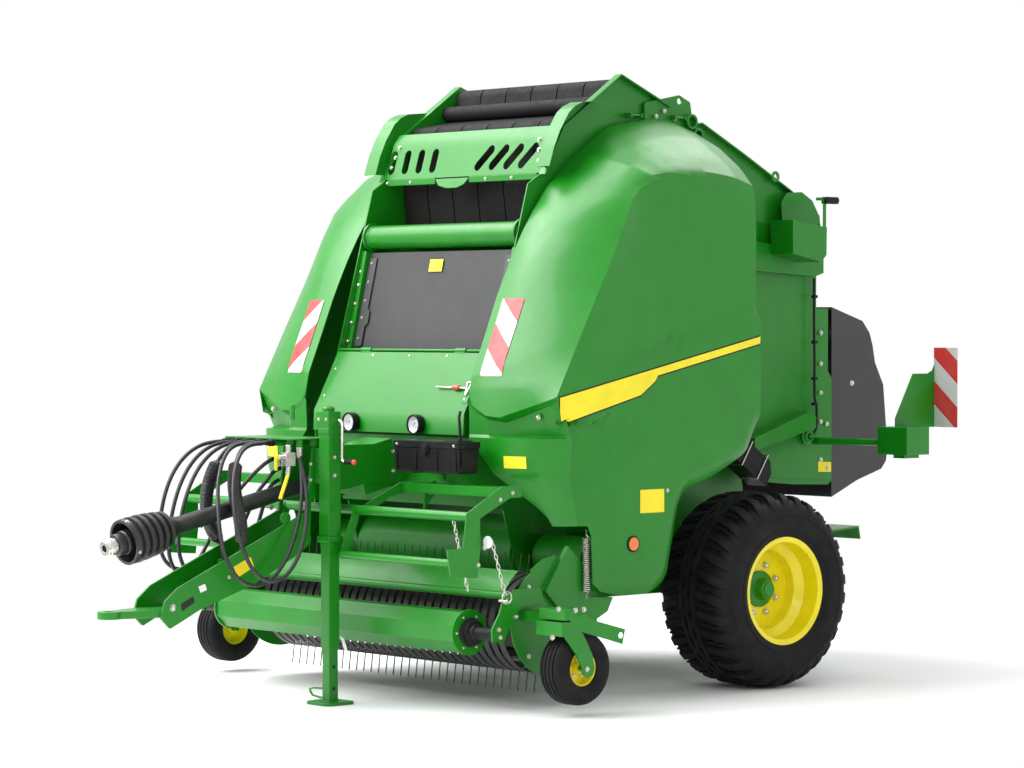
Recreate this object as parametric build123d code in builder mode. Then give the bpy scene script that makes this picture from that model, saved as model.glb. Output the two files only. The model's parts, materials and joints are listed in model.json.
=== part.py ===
"""Towed round baler with belts, a camless pickup and a rising tailgate.

Millimetres, +Z up, ground at Z 0. The machine is towed towards -Y and +X is its left side.
Side outlines are written as (ahead, height): the distance ahead of the main axle, negative
behind it, and the height above the ground.
"""
import os
from math import atan2, cos, hypot, pi, radians, sin, tan

from build123d import *

os.makedirs("parts", exist_ok=True)

# ---------------------------------------------------------------- driving dimensions
front_reach = 3430.0            # axle to the tip of the hitch eye
rear_reach = 1491.0             # axle to the back of the rear shield
axle_y = (front_reach - rear_reach) / 2
fit = 0.05                      # radial clearance of a shaft that turns in its bore
gap = 6.0                       # clearance between moving sheets

# chamber
chamber_x = 620.0               # inner face of the side sheets
sheet = 8.0                     # side sheet thickness
sheet_x = chamber_x + sheet

# main wheels
tyre_r = 512.0
tyre_w = 480.0
wheel_x = 1035.0
rim_r = 262.0
flange_r = 282.0
hub_r = 95.0
well_r = 216.0               # drop centre of the rim
rim_wall = 9.0
disc_x = 30.0                # outboard face of the wheel disc, from the wheel's middle
spindle_r = 45.0
axle_beam = 120.0

# side covers
cover_in = 668.0                # inner edge of a side cover
cover_out = 1200.0
cover_wall = 8.0

# tailgate pivot
gate_pivot = (150.0, 2980.0)
pivot_boss_r = 62.0
pivot_pin_r = 25.0

# pickup
pickup_pivot = (900.0, 760.0)
reel_axis = (1460.0, 410.0)
band_r = 246.0
tine_bar_r = 150.0
reel_disc_pitch = 350
band_back = 1378.0              # where the stripper bands end, in front of the feed rotor
pickup_plate_x = 1092.0
pickup_plate = 8.0
reel_shaft_r = 25.0
guard_roller_axis = (1920.0, 396.0)
guard_roller_r = 108.0
guard_arm_x = 1170.0
gauge_axis = (1615.0, 236.0)
gauge_x = 1396.0
gauge_r = 182.0
gauge_w = 155.0

# feed rotor
rotor_axis = (1150.0, 720.0)
rotor_r = 195.0
rotor_shaft_r = 40.0

# drawbar, power shaft and jack
drawbar_x = 120.0
drawbar_plate = 12.0
eye_axis = (3373.0, 500.0)
eye_r = 57.0
eye_hole_r = 25.0
eye_thick = 36.0
pto_front = (3402.0, 821.0)
pto_rear = (1900.0, 1150.0)
pto_tube_r = 37.0
jack_x = 208.0
jack_ahead = 2183.0
jack_outer = 78.0
jack_wall = 5.0
jack_play = 0.6


def yz(ahead, height):
    """The (Y, Z) of a point given as distance ahead of the axle and height."""
    return (axle_y - ahead, height)


def outline(points):
    return [yz(*point) for point in points]


def slab(points, x, thickness, corner=0.0):
    """A plate parallel to the machine's side, from x on by thickness."""
    with BuildPart() as made:
        with BuildSketch(Plane.YZ.offset(x)) as face:
            Polygon(*outline(points), align=None)
            if corner:
                fillet(face.vertices(), corner)
        extrude(amount=thickness)
    return made.part


def bar_x(ahead, height, radius, x0, x1, bore=0.0):
    """A round bar or tube along X."""
    with BuildPart() as made:
        with BuildSketch(Plane.YZ.offset(x0)):
            with Locations(yz(ahead, height)):
                Circle(radius)
                if bore:
                    Circle(bore, mode=Mode.SUBTRACT)
        extrude(amount=x1 - x0)
    return made.part


def block(x0, x1, ahead0, ahead1, z0, z1):
    """A box between two X, two distances ahead of the axle and two heights."""
    with BuildPart() as made:
        with BuildSketch(Plane.XY.offset(z0)):
            with Locations(((x0 + x1) / 2, axle_y - (ahead0 + ahead1) / 2)):
                Rectangle(abs(x1 - x0), abs(ahead1 - ahead0))
        extrude(amount=z1 - z0)
    return made.part


def strip(points, thickness):
    """A bent strip's side outline: an open path given thickness on its left-hand side."""
    left = []
    for index, point in enumerate(points):
        before = points[max(index - 1, 0)]
        after = points[min(index + 1, len(points) - 1)]
        along = (after[0] - before[0], after[1] - before[1])
        length = hypot(*along)
        left.append((point[0] - along[1] / length * thickness, point[1] + along[0] / length * thickness))
    return list(points) + left[::-1]


def write(part, name):
    part.label = name
    export_step(part, f"parts/{name}.step")


def both_sides(part):
    return part + part.mirror(Plane.YZ)


# ---------------------------------------------------------------- main wheels and axle
axle_z = tyre_r
tyre_half = tyre_w / 2
tyre_wall = 28.0
bead_half = tyre_half - 35


def tyre_profile(radius, half, bead, bead_r, wall):
    """Half section of a tyre as (radius, x) points, with its inside."""
    depth = radius - bead_r
    outer = [(bead_r, -bead), (bead_r + 0.30 * depth, -half + 4), (radius - 0.34 * depth, -half),
             (radius - 26, -half + 22), (radius, -half + 70)]
    inner = [(bead_r, -bead + wall), (radius - 0.45 * depth, -half + wall), (radius - wall - 14, -half + 60)]
    return outer + [(r, -x) for r, x in outer[::-1]] + [(r, -x) for r, x in inner] + inner[::-1]


for side, sign in (("left", 1), ("right", -1)):
    wheel_plane = Plane(origin=(sign * wheel_x, axle_y, axle_z), x_dir=(0, 0, 1), z_dir=(0, sign, 0))
    with BuildPart() as tyre:
        with BuildSketch(wheel_plane):
            Polygon(*tyre_profile(tyre_r, tyre_half, bead_half, rim_r, tyre_wall), align=None)
        revolve(axis=Axis((0, axle_y, axle_z), (1, 0, 0)))
    write(tyre.part, f"tyre_{side}")

    # +x of the section is outboard
    with BuildPart() as rim:
        with BuildSketch(Plane(origin=(sign * wheel_x, axle_y, axle_z), x_dir=(sign, 0, 0), z_dir=(0, -sign, 0))):
            half = [(bead_half + 10, flange_r), (bead_half, rim_r), (115, rim_r - 2), (80, well_r)]
            back = [(80 + 8, well_r - rim_wall), (122, rim_r - 2 - rim_wall), (bead_half + 12, rim_r - rim_wall),
                    (bead_half + 22, flange_r)]
            Polygon(*[(-x, r) for x, r in half], *half[::-1], *back[::-1], *[(-x, r) for x, r in back], align=None)
            Polygon((disc_x - 22, well_r - 1), (disc_x - 8, well_r - 1), (disc_x, 150), (disc_x, hub_r - 25),
                    (disc_x - 14, hub_r - 25), (disc_x - 14, 150), align=None)
        revolve(axis=Axis((0, axle_y, axle_z), (1, 0, 0)))
    write(rim.part, f"rim_{side}")

    with BuildPart() as hub:
        with BuildSketch(Plane(origin=(sign * wheel_x, axle_y, axle_z), x_dir=(sign, 0, 0), z_dir=(0, -sign, 0))):
            bore = spindle_r + fit
            Polygon((-190, bore), (-190, hub_r - 30), (disc_x, hub_r - 30), (disc_x, hub_r), (disc_x + 16, hub_r),
                    (disc_x + 22, 58), (disc_x + 60, 42), (disc_x + 84, 36), (disc_x + 84, 0), (70, 0), (70, bore),
                    align=None)
        revolve(axis=Axis((0, axle_y, axle_z), (1, 0, 0)))
    write(hub.part, f"hub_{side}")

with BuildPart() as axle:
    add(block(-chamber_x - 90, chamber_x + 90, -axle_beam / 2, axle_beam / 2, axle_z - axle_beam / 2,
              axle_z + axle_beam / 2))
    for sign in (1, -1):
        with BuildSketch(Plane.YZ.offset(sign * (chamber_x + 90))):
            with Locations((axle_y, axle_z)):
                Circle(spindle_r + 22)
        extrude(amount=sign * (wheel_x - 190 - chamber_x - 90 - 1))
        with BuildSketch(Plane.YZ.offset(sign * (wheel_x - 192))):
            with Locations((axle_y, axle_z)):
                Circle(spindle_r)
        extrude(amount=sign * 250)
write(axle.part, "axle_beam")

# ---------------------------------------------------------------- chamber side sheets
split_foot = (-330.0, 1010.0)
sheet_outline = [(610, 3200), (1015, 2915), (1150, 2665), (1230, 2615), (1470, 1750), (1620, 1440), (1620, 1085),
                 (1400, 960), (1250, 480), (120, 480), (110, axle_z + axle_beam / 2), (-190, axle_z + axle_beam / 2),
                 split_foot, (150, 2960), (150, 3035)]
lip = 38.0
lug_x = sheet_x + 12
lug = 10.0
lift_eye = (175.0, 3078.0)
cover_axis = (676.0, 2988.0)    # X and Z of the side cover's hinge, which runs along Y
cover_hinges = (520.0, 200.0)
knuckle_half = 30.0
ear = 12.0
hinge_pin_r = 7.0
lip_line = [(1150, 2665), (1015, 2915), (610, 3200), (250, 3048)]
cap_line = [(1190, 2702), (1157, 2800), (1117, 2885), (1055, 2979), (1010, 3015), (956, 3037), (806, 3050)]
cap_reach = 116.0               # how far a cap stands out from the side sheet
cap = 4.0

for side, sign in (("left", 1), ("right", -1)):
    with BuildPart() as side_sheet:
        add(slab(sheet_outline, chamber_x, sheet))
        add(slab(strip(lip_line, 8.0), sheet_x, lip))
        add(slab([(430, 3060), (430, 2880), (60, 2880), (95, 3075), (175, 3110)], lug_x, lug, 14))
        add(slab([(420, 3050), (420, 2900), (260, 2900), (260, 3045)], sheet_x, lug_x - sheet_x))
        # a rounded cap over the sheet's upper corner, on a web that stands on the sheet's lip
        add(slab(strip(cap_line, cap), sheet_x + 20, cap_reach - 20))
        add(slab(cap_line + [(806, 3040), (960, 2950), (1130, 2700)], sheet_x + 20, cap))
        with BuildSketch(Plane.YZ.offset(chamber_x - 1)):
            with Locations(yz(*gate_pivot)):
                Circle(pivot_boss_r + gap)
        extrude(amount=lug_x - chamber_x, mode=Mode.SUBTRACT)
        add(bar_x(*gate_pivot, pivot_pin_r, chamber_x - 6, lug_x))
        with BuildSketch(Plane.YZ.offset(lug_x)):
            with Locations(yz(*lift_eye)):
                Circle(17)
        extrude(amount=lug, mode=Mode.SUBTRACT)
        # hinge pins of the side cover, held between ears
        for ahead, ear_x in zip(cover_hinges, (sheet_x, lug_x + lug)):
            for end in (-1, 1):
                middle = ahead + end * (knuckle_half + ear / 2 + 1)
                add(block(ear_x, cover_axis[0] + 12, middle - ear / 2, middle + ear / 2, cover_axis[1] - 12,
                          cover_axis[1] + 12))
            with BuildSketch(Plane.XZ.offset(ahead + knuckle_half + ear - axle_y)):
                with Locations(cover_axis):
                    Circle(hinge_pin_r)
            extrude(amount=-2 * (knuckle_half + ear))
        # pickup pivot stub, rotor bearing hole
        add(bar_x(*pickup_pivot, 30, sheet_x, sheet_x + 40))
        with BuildSketch(Plane.YZ.offset(chamber_x - 1)):
            with Locations(yz(*rotor_axis)):
                Circle(rotor_shaft_r + fit)
        extrude(amount=sheet + 2, mode=Mode.SUBTRACT)
    made = side_sheet.part if sign == 1 else side_sheet.part.mirror(Plane.YZ)
    write(made, f"side_sheet_{side}")

# ---------------------------------------------------------------- frame inside the chamber
ramp_pivot = (-150.0, 545.0)
ramp_pin_r = 15.0
ramp_half = chamber_x - 60        # half width of the bale ramp
ramp_ear_x = ramp_half - 45
hood_axis = (1462.0, 1764.0)
hood_pin_r = 8.0
box_ahead = 1730.0              # back of the tool box
box_foot = 1160.0

with BuildPart() as net_panel:
    add(slab([(1264, 2280), (1268, 2280), (1388, 1765), (1384, 1765)], -chamber_x + 34, 2 * (chamber_x - 34)))
write(net_panel.part, "net_panel")

# slotted panel across the top front
panel_top = (1037, 2915)
panel_fold = (1080, 2863)
panel_foot = (1136, 2672)
panel_sheet = 5.0
slot_wide = 52.0
slot_pitch = 114.0
with BuildPart() as slat_panel:
    add(slab(strip([panel_foot, panel_fold, panel_top], -panel_sheet), -chamber_x, 2 * chamber_x))
    rise = atan2(panel_fold[1] - panel_foot[1], panel_foot[0] - panel_fold[0])
    face = Plane(origin=(0, yz(*panel_foot)[0], panel_foot[1]), x_dir=(1, 0, 0), z_dir=(0, -sin(rise), cos(rise)))
    with BuildSketch(face):
        for column in range(4):
            with Locations((-591 + slot_pitch * column, 96)):
                SlotOverall(134, slot_wide, rotation=90)
            with Locations((158 + slot_pitch * column, 96)):
                SlotOverall(170, slot_wide, rotation=47)
    extrude(amount=40, both=True, mode=Mode.SUBTRACT)
write(slat_panel.part, "slat_panel")

with BuildPart() as front_roller:
    add(bar_x(1236, 2362, 63, -chamber_x + 8, chamber_x - 8))
    add(bar_x(1236, 2362, 24, -chamber_x, chamber_x))
write(front_roller.part, "front_roller")

# belts: six side by side, in the fixed part and in the tailgate
belt = 8.0
belt_count = 6
belt_gap = 7.0
belt_width = (2 * chamber_x - 20 - belt_gap * (belt_count - 1)) / belt_count


def belts(corners, radii):
    """Belts side by side whose inner face follows rounded corners."""
    with BuildPart() as made:
        for index in range(belt_count):
            x = -chamber_x + 10 + index * (belt_width + belt_gap)
            with BuildSketch(Plane.YZ.offset(x)):
                with BuildLine():
                    FilletPolyline(*outline(corners), radius=radii)
                    offset(amount=belt, side=Side.LEFT)
                make_face()
            extrude(amount=belt_width)
    return made.part


def corner_rollers(corners, radii):
    """A roller in each rounded corner of a belt's path."""
    with BuildPart() as made:
        for before, corner, after, radius in zip(corners, corners[1:], corners[2:], radii):
            corner = Vector(*corner)
            ahead = (Vector(*before) - corner).normalized()
            behind = (Vector(*after) - corner).normalized()
            half_angle = radians(ahead.get_angle(behind) / 2)
            centre = corner + (ahead + behind).normalized() * radius / sin(half_angle)
            outside = ahead.cross(behind).Z > 0
            roller = radius - roller_gap - (belt if outside else 0)
            add(bar_x(centre.X, centre.Y, roller, -chamber_x + 2, chamber_x - 2))
            add(bar_x(centre.X, centre.Y, 25, -chamber_x, chamber_x))
    return made.part


roller_gap = 0.3
front_path = ((985, 2350), (1020, 2620), (955, 2945), (660, 3000), (627, 3188), (235, 3022))
front_corners = (120, 45, 50, 45)
write(belts(front_path, front_corners), "front_belts")

with BuildPart() as main_frame:
    # front cross panel, posts beside the net panel and cross tubes
    add(block(-chamber_x, chamber_x, 1602, 1610, 1085, 1330))
    for sign in (1, -1):
        add(slab([(1262, 2290), (1302, 2290), (1416, 1760), (1376, 1760)], sign * chamber_x, -sign * 34))
    for ahead, height in ((860, 525), (330, 525), (1400, 1010)):
        add(block(-chamber_x, chamber_x, ahead - 40, ahead + 40, height - 40, height + 40))
    for sign in (1, -1):
        # wing plates beside the rotor
        add(block(sign * sheet_x, sign * 1050, 790, 798, 690, 1040))
        # seats on the axle beam, with ears that hold the ramp's pin
        seat_z = axle_z + axle_beam / 2
        add(block(sign * ramp_ear_x, sign * chamber_x, -190, 100, seat_z, seat_z + 60))
        add(block(sign * ramp_ear_x, sign * (ramp_ear_x + 15), -190, -110, 515, seat_z))
    add(bar_x(*ramp_pivot, ramp_pin_r, -ramp_ear_x - 15, ramp_ear_x + 15))
    add(corner_rollers(front_path, front_corners))
    # the hood hangs on this bar, and the tool box stands on these brackets
    add(bar_x(*hood_axis, hood_pin_r, -chamber_x, chamber_x))
    for x in (chamber_x - 240, chamber_x - 40):
        add(block(x, x + 40, 1610, box_ahead + 100, box_foot - 8, box_foot))
        add(block(x, x + 40, 1610, 1618, box_foot - 50, box_foot - 8))
write(main_frame.part, "main_frame")

# ---------------------------------------------------------------- hood with its fascia
hood_hinge = (1478.0, 1752.0)
hood_nose = (1640.0, 1446.0)
hood_foot = (1644.0, 1342.0)
hood_half = 606.0
with BuildPart() as hood:
    add(slab(strip([hood_foot, hood_nose, hood_hinge], -4.0), -hood_half, 2 * hood_half))
    for sign in (1, -1):
        add(slab([hood_foot, hood_nose, hood_hinge, (1478, 1700), (1615, 1440), (1615, 1342)], sign * hood_half,
                 -sign * 4))
    for x in (-420, 340):
        add(bar_x(*hood_axis, hood_pin_r + 6, x, x + 80))
        add(slab([hood_axis, (1484, 1752), (1480, 1738), (1462, 1752)], x, 80))
        add(bar_x(*hood_axis, hood_pin_r + fit, x - 1, x + 81), mode=Mode.SUBTRACT)
write(hood.part, "hood")

lamp_ahead = 1648.0
lamp_z = 1390.0
lamp_r = 46.0
with BuildPart() as work_lamps:
    for x in (-263, 263):
        with BuildSketch(Plane.XZ.offset(lamp_ahead - axle_y)):
            with Locations((x, lamp_z)):
                Circle(lamp_r)
        extrude(amount=40)
write(work_lamps.part, "work_lamps")

# ---------------------------------------------------------------- side covers
cover_outline = [(1640, 1500), (1090, 2640), (760, 2902), (600, 2955), (450, 2975), (250, 2972), (130, 2925),
                 (130, 1380), (198, 1238), (300, 1185), (472, 1108), (626, 1072), (683, 1018), (723, 857), (768, 642),
                 (815, 583), (909, 541), (1132, 547), (1243, 573), (1306, 616), (1298, 748), (1325, 829), (1379, 898),
                 (1560, 910), (1720, 1060), (1700, 1400)]


# the front face leans back and outwards, and the shoulder falls from the ridge to the side
front_rise = Vector(0, 550, 1140)
front_sweep = Vector(532, 85, 43)
front_face = Plane(origin=(cover_in, *yz(1640, 1500)), x_dir=front_rise.normalized(),
                   z_dir=front_sweep.cross(front_rise).normalized())
shoulder = Plane(origin=(cover_in, 0, 2972), x_dir=(0, 1, 0), z_dir=Vector(330, 0, 502).normalized())
brow = Plane(origin=(1170, 0, 2642), x_dir=(0, 1, 0), z_dir=Vector(200, 0, 30).normalized())


def cover_block(inset, inner_x):
    """The outside of a left side cover or, with an inset, the room inside it."""
    with BuildPart() as made:
        with BuildSketch(Plane.YZ.offset(inner_x)):
            Polygon(*outline(cover_outline), align=None)
            if inset:
                offset(amount=-inset, kind=Kind.INTERSECTION)
        extrude(amount=cover_out - inset - inner_x)
        for plane in (front_face, shoulder, brow):
            split(bisect_by=plane.offset(-inset), keep=Keep.BOTTOM)
    return made.part


with BuildPart() as side_cover:
    add(cover_block(0, cover_in))
    add(cover_block(cover_wall, cover_in - 40), mode=Mode.SUBTRACT)
    # open below, where the pickup rises into it, and cut away beside the tool box
    add(block(cover_in - 1, cover_out - cover_wall, 790, 1560, 500, 935), mode=Mode.SUBTRACT)
    for ahead in cover_hinges:
        low = ahead - knuckle_half
        high = ahead + knuckle_half
        add(block(cover_in, cover_in + 16, low, high, 2940, cover_axis[1]))
        with BuildSketch(Plane.XZ.offset(high - axle_y)):
            with Locations(cover_axis):
                Circle(hinge_pin_r + 5)
        extrude(amount=-2 * knuckle_half)
        with BuildSketch(Plane.XZ.offset(high + 1 - axle_y)):
            with Locations(cover_axis):
                Circle(hinge_pin_r + fit)
        extrude(amount=-2 * knuckle_half - 2, mode=Mode.SUBTRACT)
write(side_cover.part, "side_cover_left")
write(side_cover.part.mirror(Plane.YZ), "side_cover_right")

# ---------------------------------------------------------------- tailgate
gate_outline = [(150, 2918), (-310, 1060), (-400, 1050), (-720, 1020), (-1000, 1010), (-1030, 1030), (-1030, 1600),
                (-1000, 1640), (-1000, 1985), (-905, 1985), (-905, 2362), (-883, 2499), (-660, 2631), (-310, 2810),
                (100, 3010), (150, 3035)]
beam_deep = 55.0                # depth of the beam along each tailgate side
for side, sign in (("left", 1), ("right", -1)):
    with BuildPart() as gate_side:
        add(slab(gate_outline, chamber_x, sheet))
        with BuildSketch(Plane.YZ.offset(chamber_x)):
            with Locations(yz(*gate_pivot)):
                Circle(pivot_boss_r)
        extrude(amount=sheet)
        # the sheet stays behind the line from the pivot to its foot
        add(slab([(138, 3100), (138, 2960), (-342, 1010), (-360, 937), (300, 937), (700, 3100)], chamber_x - 1,
                 sheet + 2), mode=Mode.SUBTRACT)
        with BuildSketch(Plane.YZ.offset(chamber_x)):
            with Locations(yz(*gate_pivot)):
                Circle(pivot_boss_r)
        extrude(amount=sheet)
        add(slab(strip([(20, 2973), (-310, 2812), (-660, 2633), (-890, 2497), (-905, 2370)], 8.0), sheet_x, lip))
        add(slab([(-130, 2380), (-840, 2286), (-905, 2270), (-905, 2180), (-840, 2160), (-130, 2200)], sheet_x,
                 beam_deep))
        add(slab([(-330, 1215), (-330, 1285), (-765, 1420), (-810, 1390), (-810, 1330)], sheet_x, 90))
        add(slab([(-345, 1190), (-800, 1325), (-1020, 1250), (-1020, 1040), (-760, 1050), (-420, 1075)], sheet_x, 10))
        add(bar_x(-805, 1282, 42, sheet_x + 10, sheet_x + 26))
        with BuildSketch(Plane.YZ.offset(sheet_x + lip - 10)):
            with Locations(yz(-543, 2700)):
                Circle(30)
                Circle(14, mode=Mode.SUBTRACT)
        extrude(amount=10)
        with BuildSketch(Plane.YZ.offset(chamber_x - 1)):
            with Locations(yz(*gate_pivot)):
                Circle(pivot_pin_r + fit)
        extrude(amount=sheet + 2, mode=Mode.SUBTRACT)
    made = gate_side.part if sign == 1 else gate_side.part.mirror(Plane.YZ)
    write(made, f"tailgate_side_{side}")

rear_path = ((110, 2962), (-610, 2590), (-858, 2330), (-838, 1150), (-715, 1040))
rear_corners = (120, 90, 90)
with BuildPart() as tailgate_frame:
    add(corner_rollers(rear_path, rear_corners))
    add(block(-chamber_x, chamber_x, -430, -370, 1060, 1120))
write(tailgate_frame.part, "tailgate_frame")
write(belts(rear_path, rear_corners), "rear_belts")

shield_outline = [(-1030, 940), (-1030, 1993), (-1282, 1916), (-1340, 1850), (-1366, 1780), (-1386, 1683),
                  (-1455, 1558), (-rear_reach, 1214), (-1480, 1130), (-1440, 1085), (-1239, 1027)]
shield_half = sheet_x
shield_wall = 5.0
with BuildPart() as rear_shield:
    add(slab(shield_outline, -shield_half, 2 * shield_half))
    with BuildSketch(Plane.YZ.offset(-shield_half + shield_wall)):
        Polygon(*outline(shield_outline), align=None)
        offset(amount=-shield_wall, kind=Kind.INTERSECTION)
    extrude(amount=2 * (shield_half - shield_wall), mode=Mode.SUBTRACT)
    add(block(-shield_half + shield_wall, shield_half - shield_wall, -1029, -1042, 950, 1978),
        mode=Mode.SUBTRACT)
write(rear_shield.part, "rear_shield")

marker_z = 1255.0
marker_out = 1260.0
board_ahead = -1354.0
with BuildPart() as marker_arms:
    with BuildPart(mode=Mode.PRIVATE) as one_arm:
        with BuildLine():
            reach = Polyline((sheet_x + 10, axle_y + 880, marker_z), (sheet_x + 60, axle_y + 880, marker_z),
                             (990, axle_y + 985, marker_z), (1060, axle_y + 985, marker_z))
        with BuildSketch(Plane(origin=reach @ 0, z_dir=reach % 0)):
            Circle(20)
        sweep(path=reach, transition=Transition.ROUND)
        add(block(1048, marker_out, -943, -1125, 1192, 1342))
        add(slab([(-1032, 1342), (-1032, 1386), (-1175, 1628), (-1295, 1628), (-1335, 1645), (board_ahead, 1680),
                  (board_ahead, 1333), (-1125, 1333)], 1092, 4))
        add(block(1120, 1200, -990, -1110, 1172, 1192))
    add(both_sides(one_arm.part))
write(marker_arms.part, "marker_arms")

with BuildPart() as marker_boards:
    add(both_sides(block(1090, marker_out, board_ahead, board_ahead - 4, 1333, 1770)))
write(marker_boards.part, "marker_boards")

box_out = 850.0
beam_x = sheet_x + beam_deep
with BuildPart() as rear_boxes:
    with BuildPart(mode=Mode.PRIVATE) as one_box:
        add(slab([(-485, 2278), (-485, 2460), (-752, 2425), (-749, 2274), (-708, 2236)], beam_x, box_out - beam_x))
        # arched plate above the box
        add(slab([(-565, 2450), (-556, 2560), (-600, 2612), (-715, 2620), (-800, 2575), (-850, 2500), (-856, 2447),
                  (-752, 2420), (-700, 2425)], 690, 6, 12))
        # post with a small camera plate
        add(block(box_out - 4, box_out, -722, -746, 2400, 2570))
        add(block(box_out - 34, box_out, -700, -823, 2570, 2586))
    add(both_sides(one_box.part))
write(rear_boxes.part, "rear_boxes")

# ---------------------------------------------------------------- bale ramp behind the axle
with BuildPart() as bale_ramp:
    for sign in (1, -1):
        add(slab([(-100, 505), (-100, 585), (-180, 600), (-1090, 745), (-1150, 745), (-1165, 590), (-1215, 600),
                  (-1140, 560), (-180, 500)], sign * (ramp_half - 60), -sign * 10))
    add(slab([(-1080, 738), (-1080, 748), (-1330, 765), (-1345, 690), (-1335, 690), (-1320, 752)], -ramp_half,
             2 * ramp_half))
    add(bar_x(-300, 560, 30, -ramp_half + 70, ramp_half - 70))
    add(bar_x(*ramp_pivot, 30, -ramp_ear_x + 1, ramp_ear_x - 1))
    add(bar_x(*ramp_pivot, ramp_pin_r + fit, -ramp_ear_x, ramp_ear_x), mode=Mode.SUBTRACT)
write(bale_ramp.part, "bale_ramp")

# ---------------------------------------------------------------- drawbar, hitch, power shaft
sleeve_ends = ((-75, 2640, 735), (75, 2640, 735))
drawbar_outline = [(3155, 480), (3130, 560), (3054, 621), (2435, 887), (2260, 962), (2222, 1290), (1610, 1290),
                   (1610, 1092), (1850, 1096), (2000, 1068), (2170, 1058), (2232, 1010), (2240, 800), (2349, 733),
                   (2589, 616), (2924, 507), (3100, 425)]
with BuildPart() as drawbar:
    for sign in (1, -1):
        add(slab(drawbar_outline, sign * drawbar_x, -sign * drawbar_plate, 12))
    inside = drawbar_x - drawbar_plate
    add(slab([(2880, 545), (2880, 560), (2420, 760), (2300, 810), (2300, 795), (2420, 745)], -inside, 2 * inside))
    for x, ahead, height in sleeve_ends:
        add(block(x - 20, x + 20, ahead - 20, ahead + 20, height - 80, height))
    add(block(-inside, inside, 1614, 1622, 1100, 1285))
write(drawbar.part, "drawbar")

with BuildPart() as hitch_eye:
    with BuildSketch(Plane.XY.offset(eye_axis[1] - eye_thick / 2)):
        with Locations((0, axle_y - eye_axis[0])):
            Circle(eye_r)
        Polygon((-inside, axle_y - 2960), (-inside, axle_y - 3140), (-46, axle_y - 3340), (46, axle_y - 3340),
                (inside, axle_y - 3140), (inside, axle_y - 2960), align=None)
        with Locations((0, axle_y - eye_axis[0])):
            Circle(eye_hole_r, mode=Mode.SUBTRACT)
    extrude(amount=eye_thick)
write(hitch_eye.part, "hitch_eye")

# power shaft: a guard that stays still around a shaft that turns
pto_vector = Vector(0, pto_front[0] - pto_rear[0], pto_rear[1] - pto_front[1])
pto_length = pto_vector.length
pto_plane = Plane(origin=(0, *yz(*pto_front)), x_dir=(1, 0, 0), z_dir=pto_vector.normalized())
pto_bore = 24.0
with BuildPart() as pto_guard:
    with BuildSketch(pto_plane.offset(60)):
        Circle(118)
        Circle(110, mode=Mode.SUBTRACT)
    extrude(amount=90)
    with BuildSketch(pto_plane.offset(150)):
        Circle(118)
    with BuildSketch(pto_plane.offset(400)):
        Circle(62)
    loft()
    with BuildSketch(pto_plane.offset(149)):
        Circle(110)
    with BuildSketch(pto_plane.offset(392)):
        Circle(54)
    loft(mode=Mode.SUBTRACT)
    with BuildSketch(pto_plane.offset(400)):
        Circle(pto_tube_r)
    extrude(amount=pto_length - 400 - 40)
    with BuildSketch(pto_plane.offset(300)):
        Circle(pto_bore + fit)
    extrude(amount=pto_length, mode=Mode.SUBTRACT)
write(pto_guard.part, "pto_guard")

with BuildPart() as pto_shaft:
    with BuildSketch(pto_plane.offset(250)):
        Circle(pto_bore)
    extrude(amount=pto_length - 250 - 0.3)
    with BuildSketch(pto_plane):
        Circle(36)
        Circle(18, mode=Mode.SUBTRACT)
    extrude(amount=90)
    with BuildSketch(pto_plane.offset(90)):
        Circle(50)
    extrude(amount=170)
write(pto_shaft.part, "pto_shaft")

with BuildPart() as gearbox:
    with BuildSketch(Plane(origin=pto_plane.origin + pto_vector, x_dir=(1, 0, 0), z_dir=pto_vector.normalized())):
        Rectangle(2 * inside, 240)
    extrude(amount=230)
write(gearbox.part, "gearbox")

# ---------------------------------------------------------------- parking jack
jack_y = axle_y - jack_ahead
jack_inner = jack_outer - 2 * jack_wall - 2 * jack_play
foot = 15.0
with BuildPart() as jack_tube:
    with BuildSketch(Plane.XY.offset(812)):
        with Locations((jack_x, jack_y)):
            Rectangle(jack_outer, jack_outer)
            Rectangle(jack_outer - 2 * jack_wall, jack_outer - 2 * jack_wall, mode=Mode.SUBTRACT)
    extrude(amount=1380 - 812)
    with BuildSketch(Plane.XY.offset(1380)):
        with Locations((jack_x - 12, jack_y)):
            Rectangle(jack_outer + 24, jack_outer)
    extrude(amount=84)
    add(block(drawbar_x, jack_x - jack_outer / 2, jack_ahead - 60, jack_ahead + 30, 1100, 1280))
write(jack_tube.part, "jack_tube")

with BuildPart() as jack_leg:
    with BuildSketch(Plane.XY.offset(foot)):
        with Locations((jack_x, jack_y)):
            Rectangle(jack_inner - 10, jack_inner - 10)
            Rectangle(jack_inner - 20, jack_inner - 20, mode=Mode.SUBTRACT)
    extrude(amount=300)
    with BuildSketch(Plane.XY.offset(280)):
        with Locations((jack_x, jack_y)):
            Rectangle(jack_inner, jack_inner)
            Rectangle(jack_inner - 20, jack_inner - 20, mode=Mode.SUBTRACT)
    extrude(amount=1060 - 280)
    with BuildSketch():
        with Locations((jack_x, jack_y)):
            RectangleRounded(190, 190, 40)
    extrude(amount=foot)
write(jack_leg.part, "jack_leg")

with BuildPart() as toolbox:
    add(block(330, 832, box_ahead, box_ahead + 145, box_foot, box_foot + 160))
    fillet(toolbox.edges().filter_by(Axis.Z), 12)
write(toolbox.part, "toolbox")

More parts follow.
